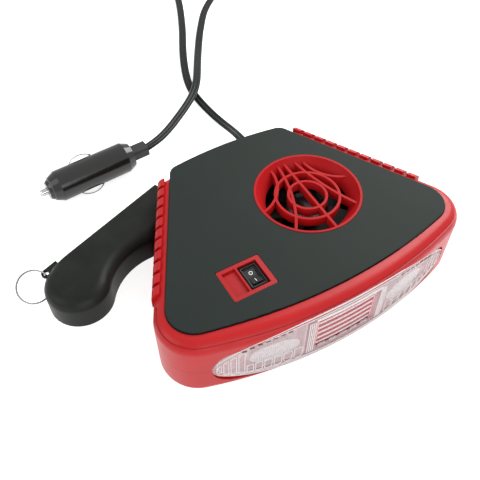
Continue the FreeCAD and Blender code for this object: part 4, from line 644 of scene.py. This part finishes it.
for i in range(int(lead["turns"] * steps) + 1):
    gone = i / steps
    angle = math.radians(lead["startAngle"] - 360 * gone)
    if gone < 2.0:  # inwards on the ground
        radius = outer + (inner - outer) * gone / 2.0
        height = lead["low"]
    elif gone < 2.5:  # up to the second layer
        radius = inner
        height = lead["low"] + lead["layer"] * (gone - 2.0) / 0.5
    else:  # outwards on top
        radius = inner + (outer - inner) * (gone - 2.5) / 2.0
        height = lead["low"] + lead["layer"]
    cx, cy = lead["coil"]
    route.append((cx + radius * math.cos(angle), cy + radius * math.sin(angle), height))
route += [*lead["back"], lead["end"]]


def smoothPoints(points):
    curve = bpy.data.curves.new("route", "CURVE")
    curve.dimensions = "3D"
    curve.resolution_u = 6
    spline = curve.splines.new("NURBS")
    spline.points.add(len(points) - 1)
    for p, at in zip(spline.points, points):
        p.co = (*(Vector(at) * mm), 1)
    spline.order_u = 3
    spline.use_endpoint_u = True
    guide = bpy.data.objects.new("route", curve)
    read = bpy.data.meshes.new_from_object(guide)
    points = [v.co.copy() for v in read.vertices]
    bpy.data.objects.remove(guide)
    bpy.data.meshes.remove(read)
    bpy.data.curves.remove(curve)
    return points


def flatCord(work, line, wide, thick):
    ring = bmesh.ops.create_circle(work, segments=24, radius=1)["verts"]
    for v in ring:
        a = math.atan2(v.co.y, v.co.x)
        waist = 1 - 0.45 * math.exp(-((math.cos(a) / 0.3) ** 2))
        v.co = Vector((0.5 * wide * math.cos(a), 0.5 * thick * math.sin(a) * waist, 0)) * mm
    flat = [v.co.copy() for v in ring]
    loop = work.edges[:]
    fresh = ring
    for i, at in enumerate(line):
        ahead = (line[min(i + 1, len(line) - 1)] - line[max(i - 1, 0)]).normalized()
        side = ahead.cross(Vector((0, 0, 1))).normalized()
        rise = side.cross(ahead).normalized()
        if i:
            made = bmesh.ops.extrude_edge_only(work, edges=loop)["geom"]
            fresh = [g for g in made if isinstance(g, bmesh.types.BMVert)]
            own = set(fresh)
            loop = [g for g in made if isinstance(g, bmesh.types.BMEdge) and own.issuperset(g.verts)]
        for v, shape in zip(fresh, flat):
            v.co = at + side * shape.x + rise * shape.y


line = smoothPoints(route)
work = bmesh.new()
flatCord(work, line, lead["wide"], lead["thick"])
bmesh.ops.holes_fill(work, edges=[e for e in work.edges if e.is_boundary])
cord = finished("leadCord", work, cable)
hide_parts("cord_lead", "cord_tail", "cord_coil")
length = sum((b - a).length for a, b in zip(line, line[1:]))
print("lead made, length", round(length, 3))


# ---- floor, light
work = bmesh.new()
bmesh.ops.create_grid(work, x_segments=1, y_segments=1, size=6)
floorMesh = bpy.data.meshes.new("floor")
work.to_mesh(floorMesh)
work.free()
floor = bpy.data.objects.new("floor", floorMesh)
bpy.context.scene.collection.objects.link(floor)
backdrop = {"floor": 0.85, "glow": 0.8, "air": 0.42, "warmth": (1.0, 0.995, 0.99)}


def straight(tree):
    rays = tree.node("ShaderNodeLightPath", {}, {}).socket.node
    return sum((Signal(tree, rays.outputs[name]) for name in (
        "Is Camera Ray", "Is Glossy Ray", "Is Transmission Ray")), 0).clamp()


ground = Finish("paleFloor", (backdrop["floor"],) * 3, Roughness=0.9)
glow = ground.node("ShaderNodeEmission", {}, {"Color": (1, 1, 1, 1), "Strength": straight(ground) * backdrop["glow"]})
both = ground.node("ShaderNodeAddShader", {}, {0: Signal(ground, ground.shader.outputs[0]), 1: glow})
ground.tree.links.new(both.socket, ground.tree.nodes["Material Output"].inputs["Surface"])
floorMesh.materials.append(ground.material)


class Air(Finish):
    def __init__(self, name):
        self.world = bpy.data.worlds.new(name)
        self.world.use_nodes = True
        self.tree = self.world.node_tree
        self.shader = self.tree.nodes["Background"]


air = Air("studio")
bpy.context.scene.world = air.world
air.shader.inputs["Color"].default_value = (*backdrop["warmth"], 1)
air.feed("Strength", backdrop["air"] + (1 - backdrop["air"]) * straight(air))

lamps = {
    "rear": {"at": (0.5, 0.3, 0.5), "size": 0.45, "power": 5.0},
    "front": {"at": (-0.15, -0.95, 0.5), "size": 0.7, "power": 5.0},
    "side": {"at": (-0.85, 0.15, 0.55), "size": 0.6, "power": 2.5},
}
for name, lamp in lamps.items():
    data = bpy.data.lights.new(name, "AREA")
    data.size = lamp["size"]
    data.energy = lamp["power"]
    light = bpy.data.objects.new(name, data)
    bpy.context.scene.collection.objects.link(light)
    light.location = lamp["at"]
    light.rotation_euler = (Vector((0, 0.05, 0.02)) - Vector(lamp["at"])).to_track_quat("-Z", "Y").to_euler()
bpy.context.scene.view_settings.view_transform = "Standard"
print("floor and lights made")
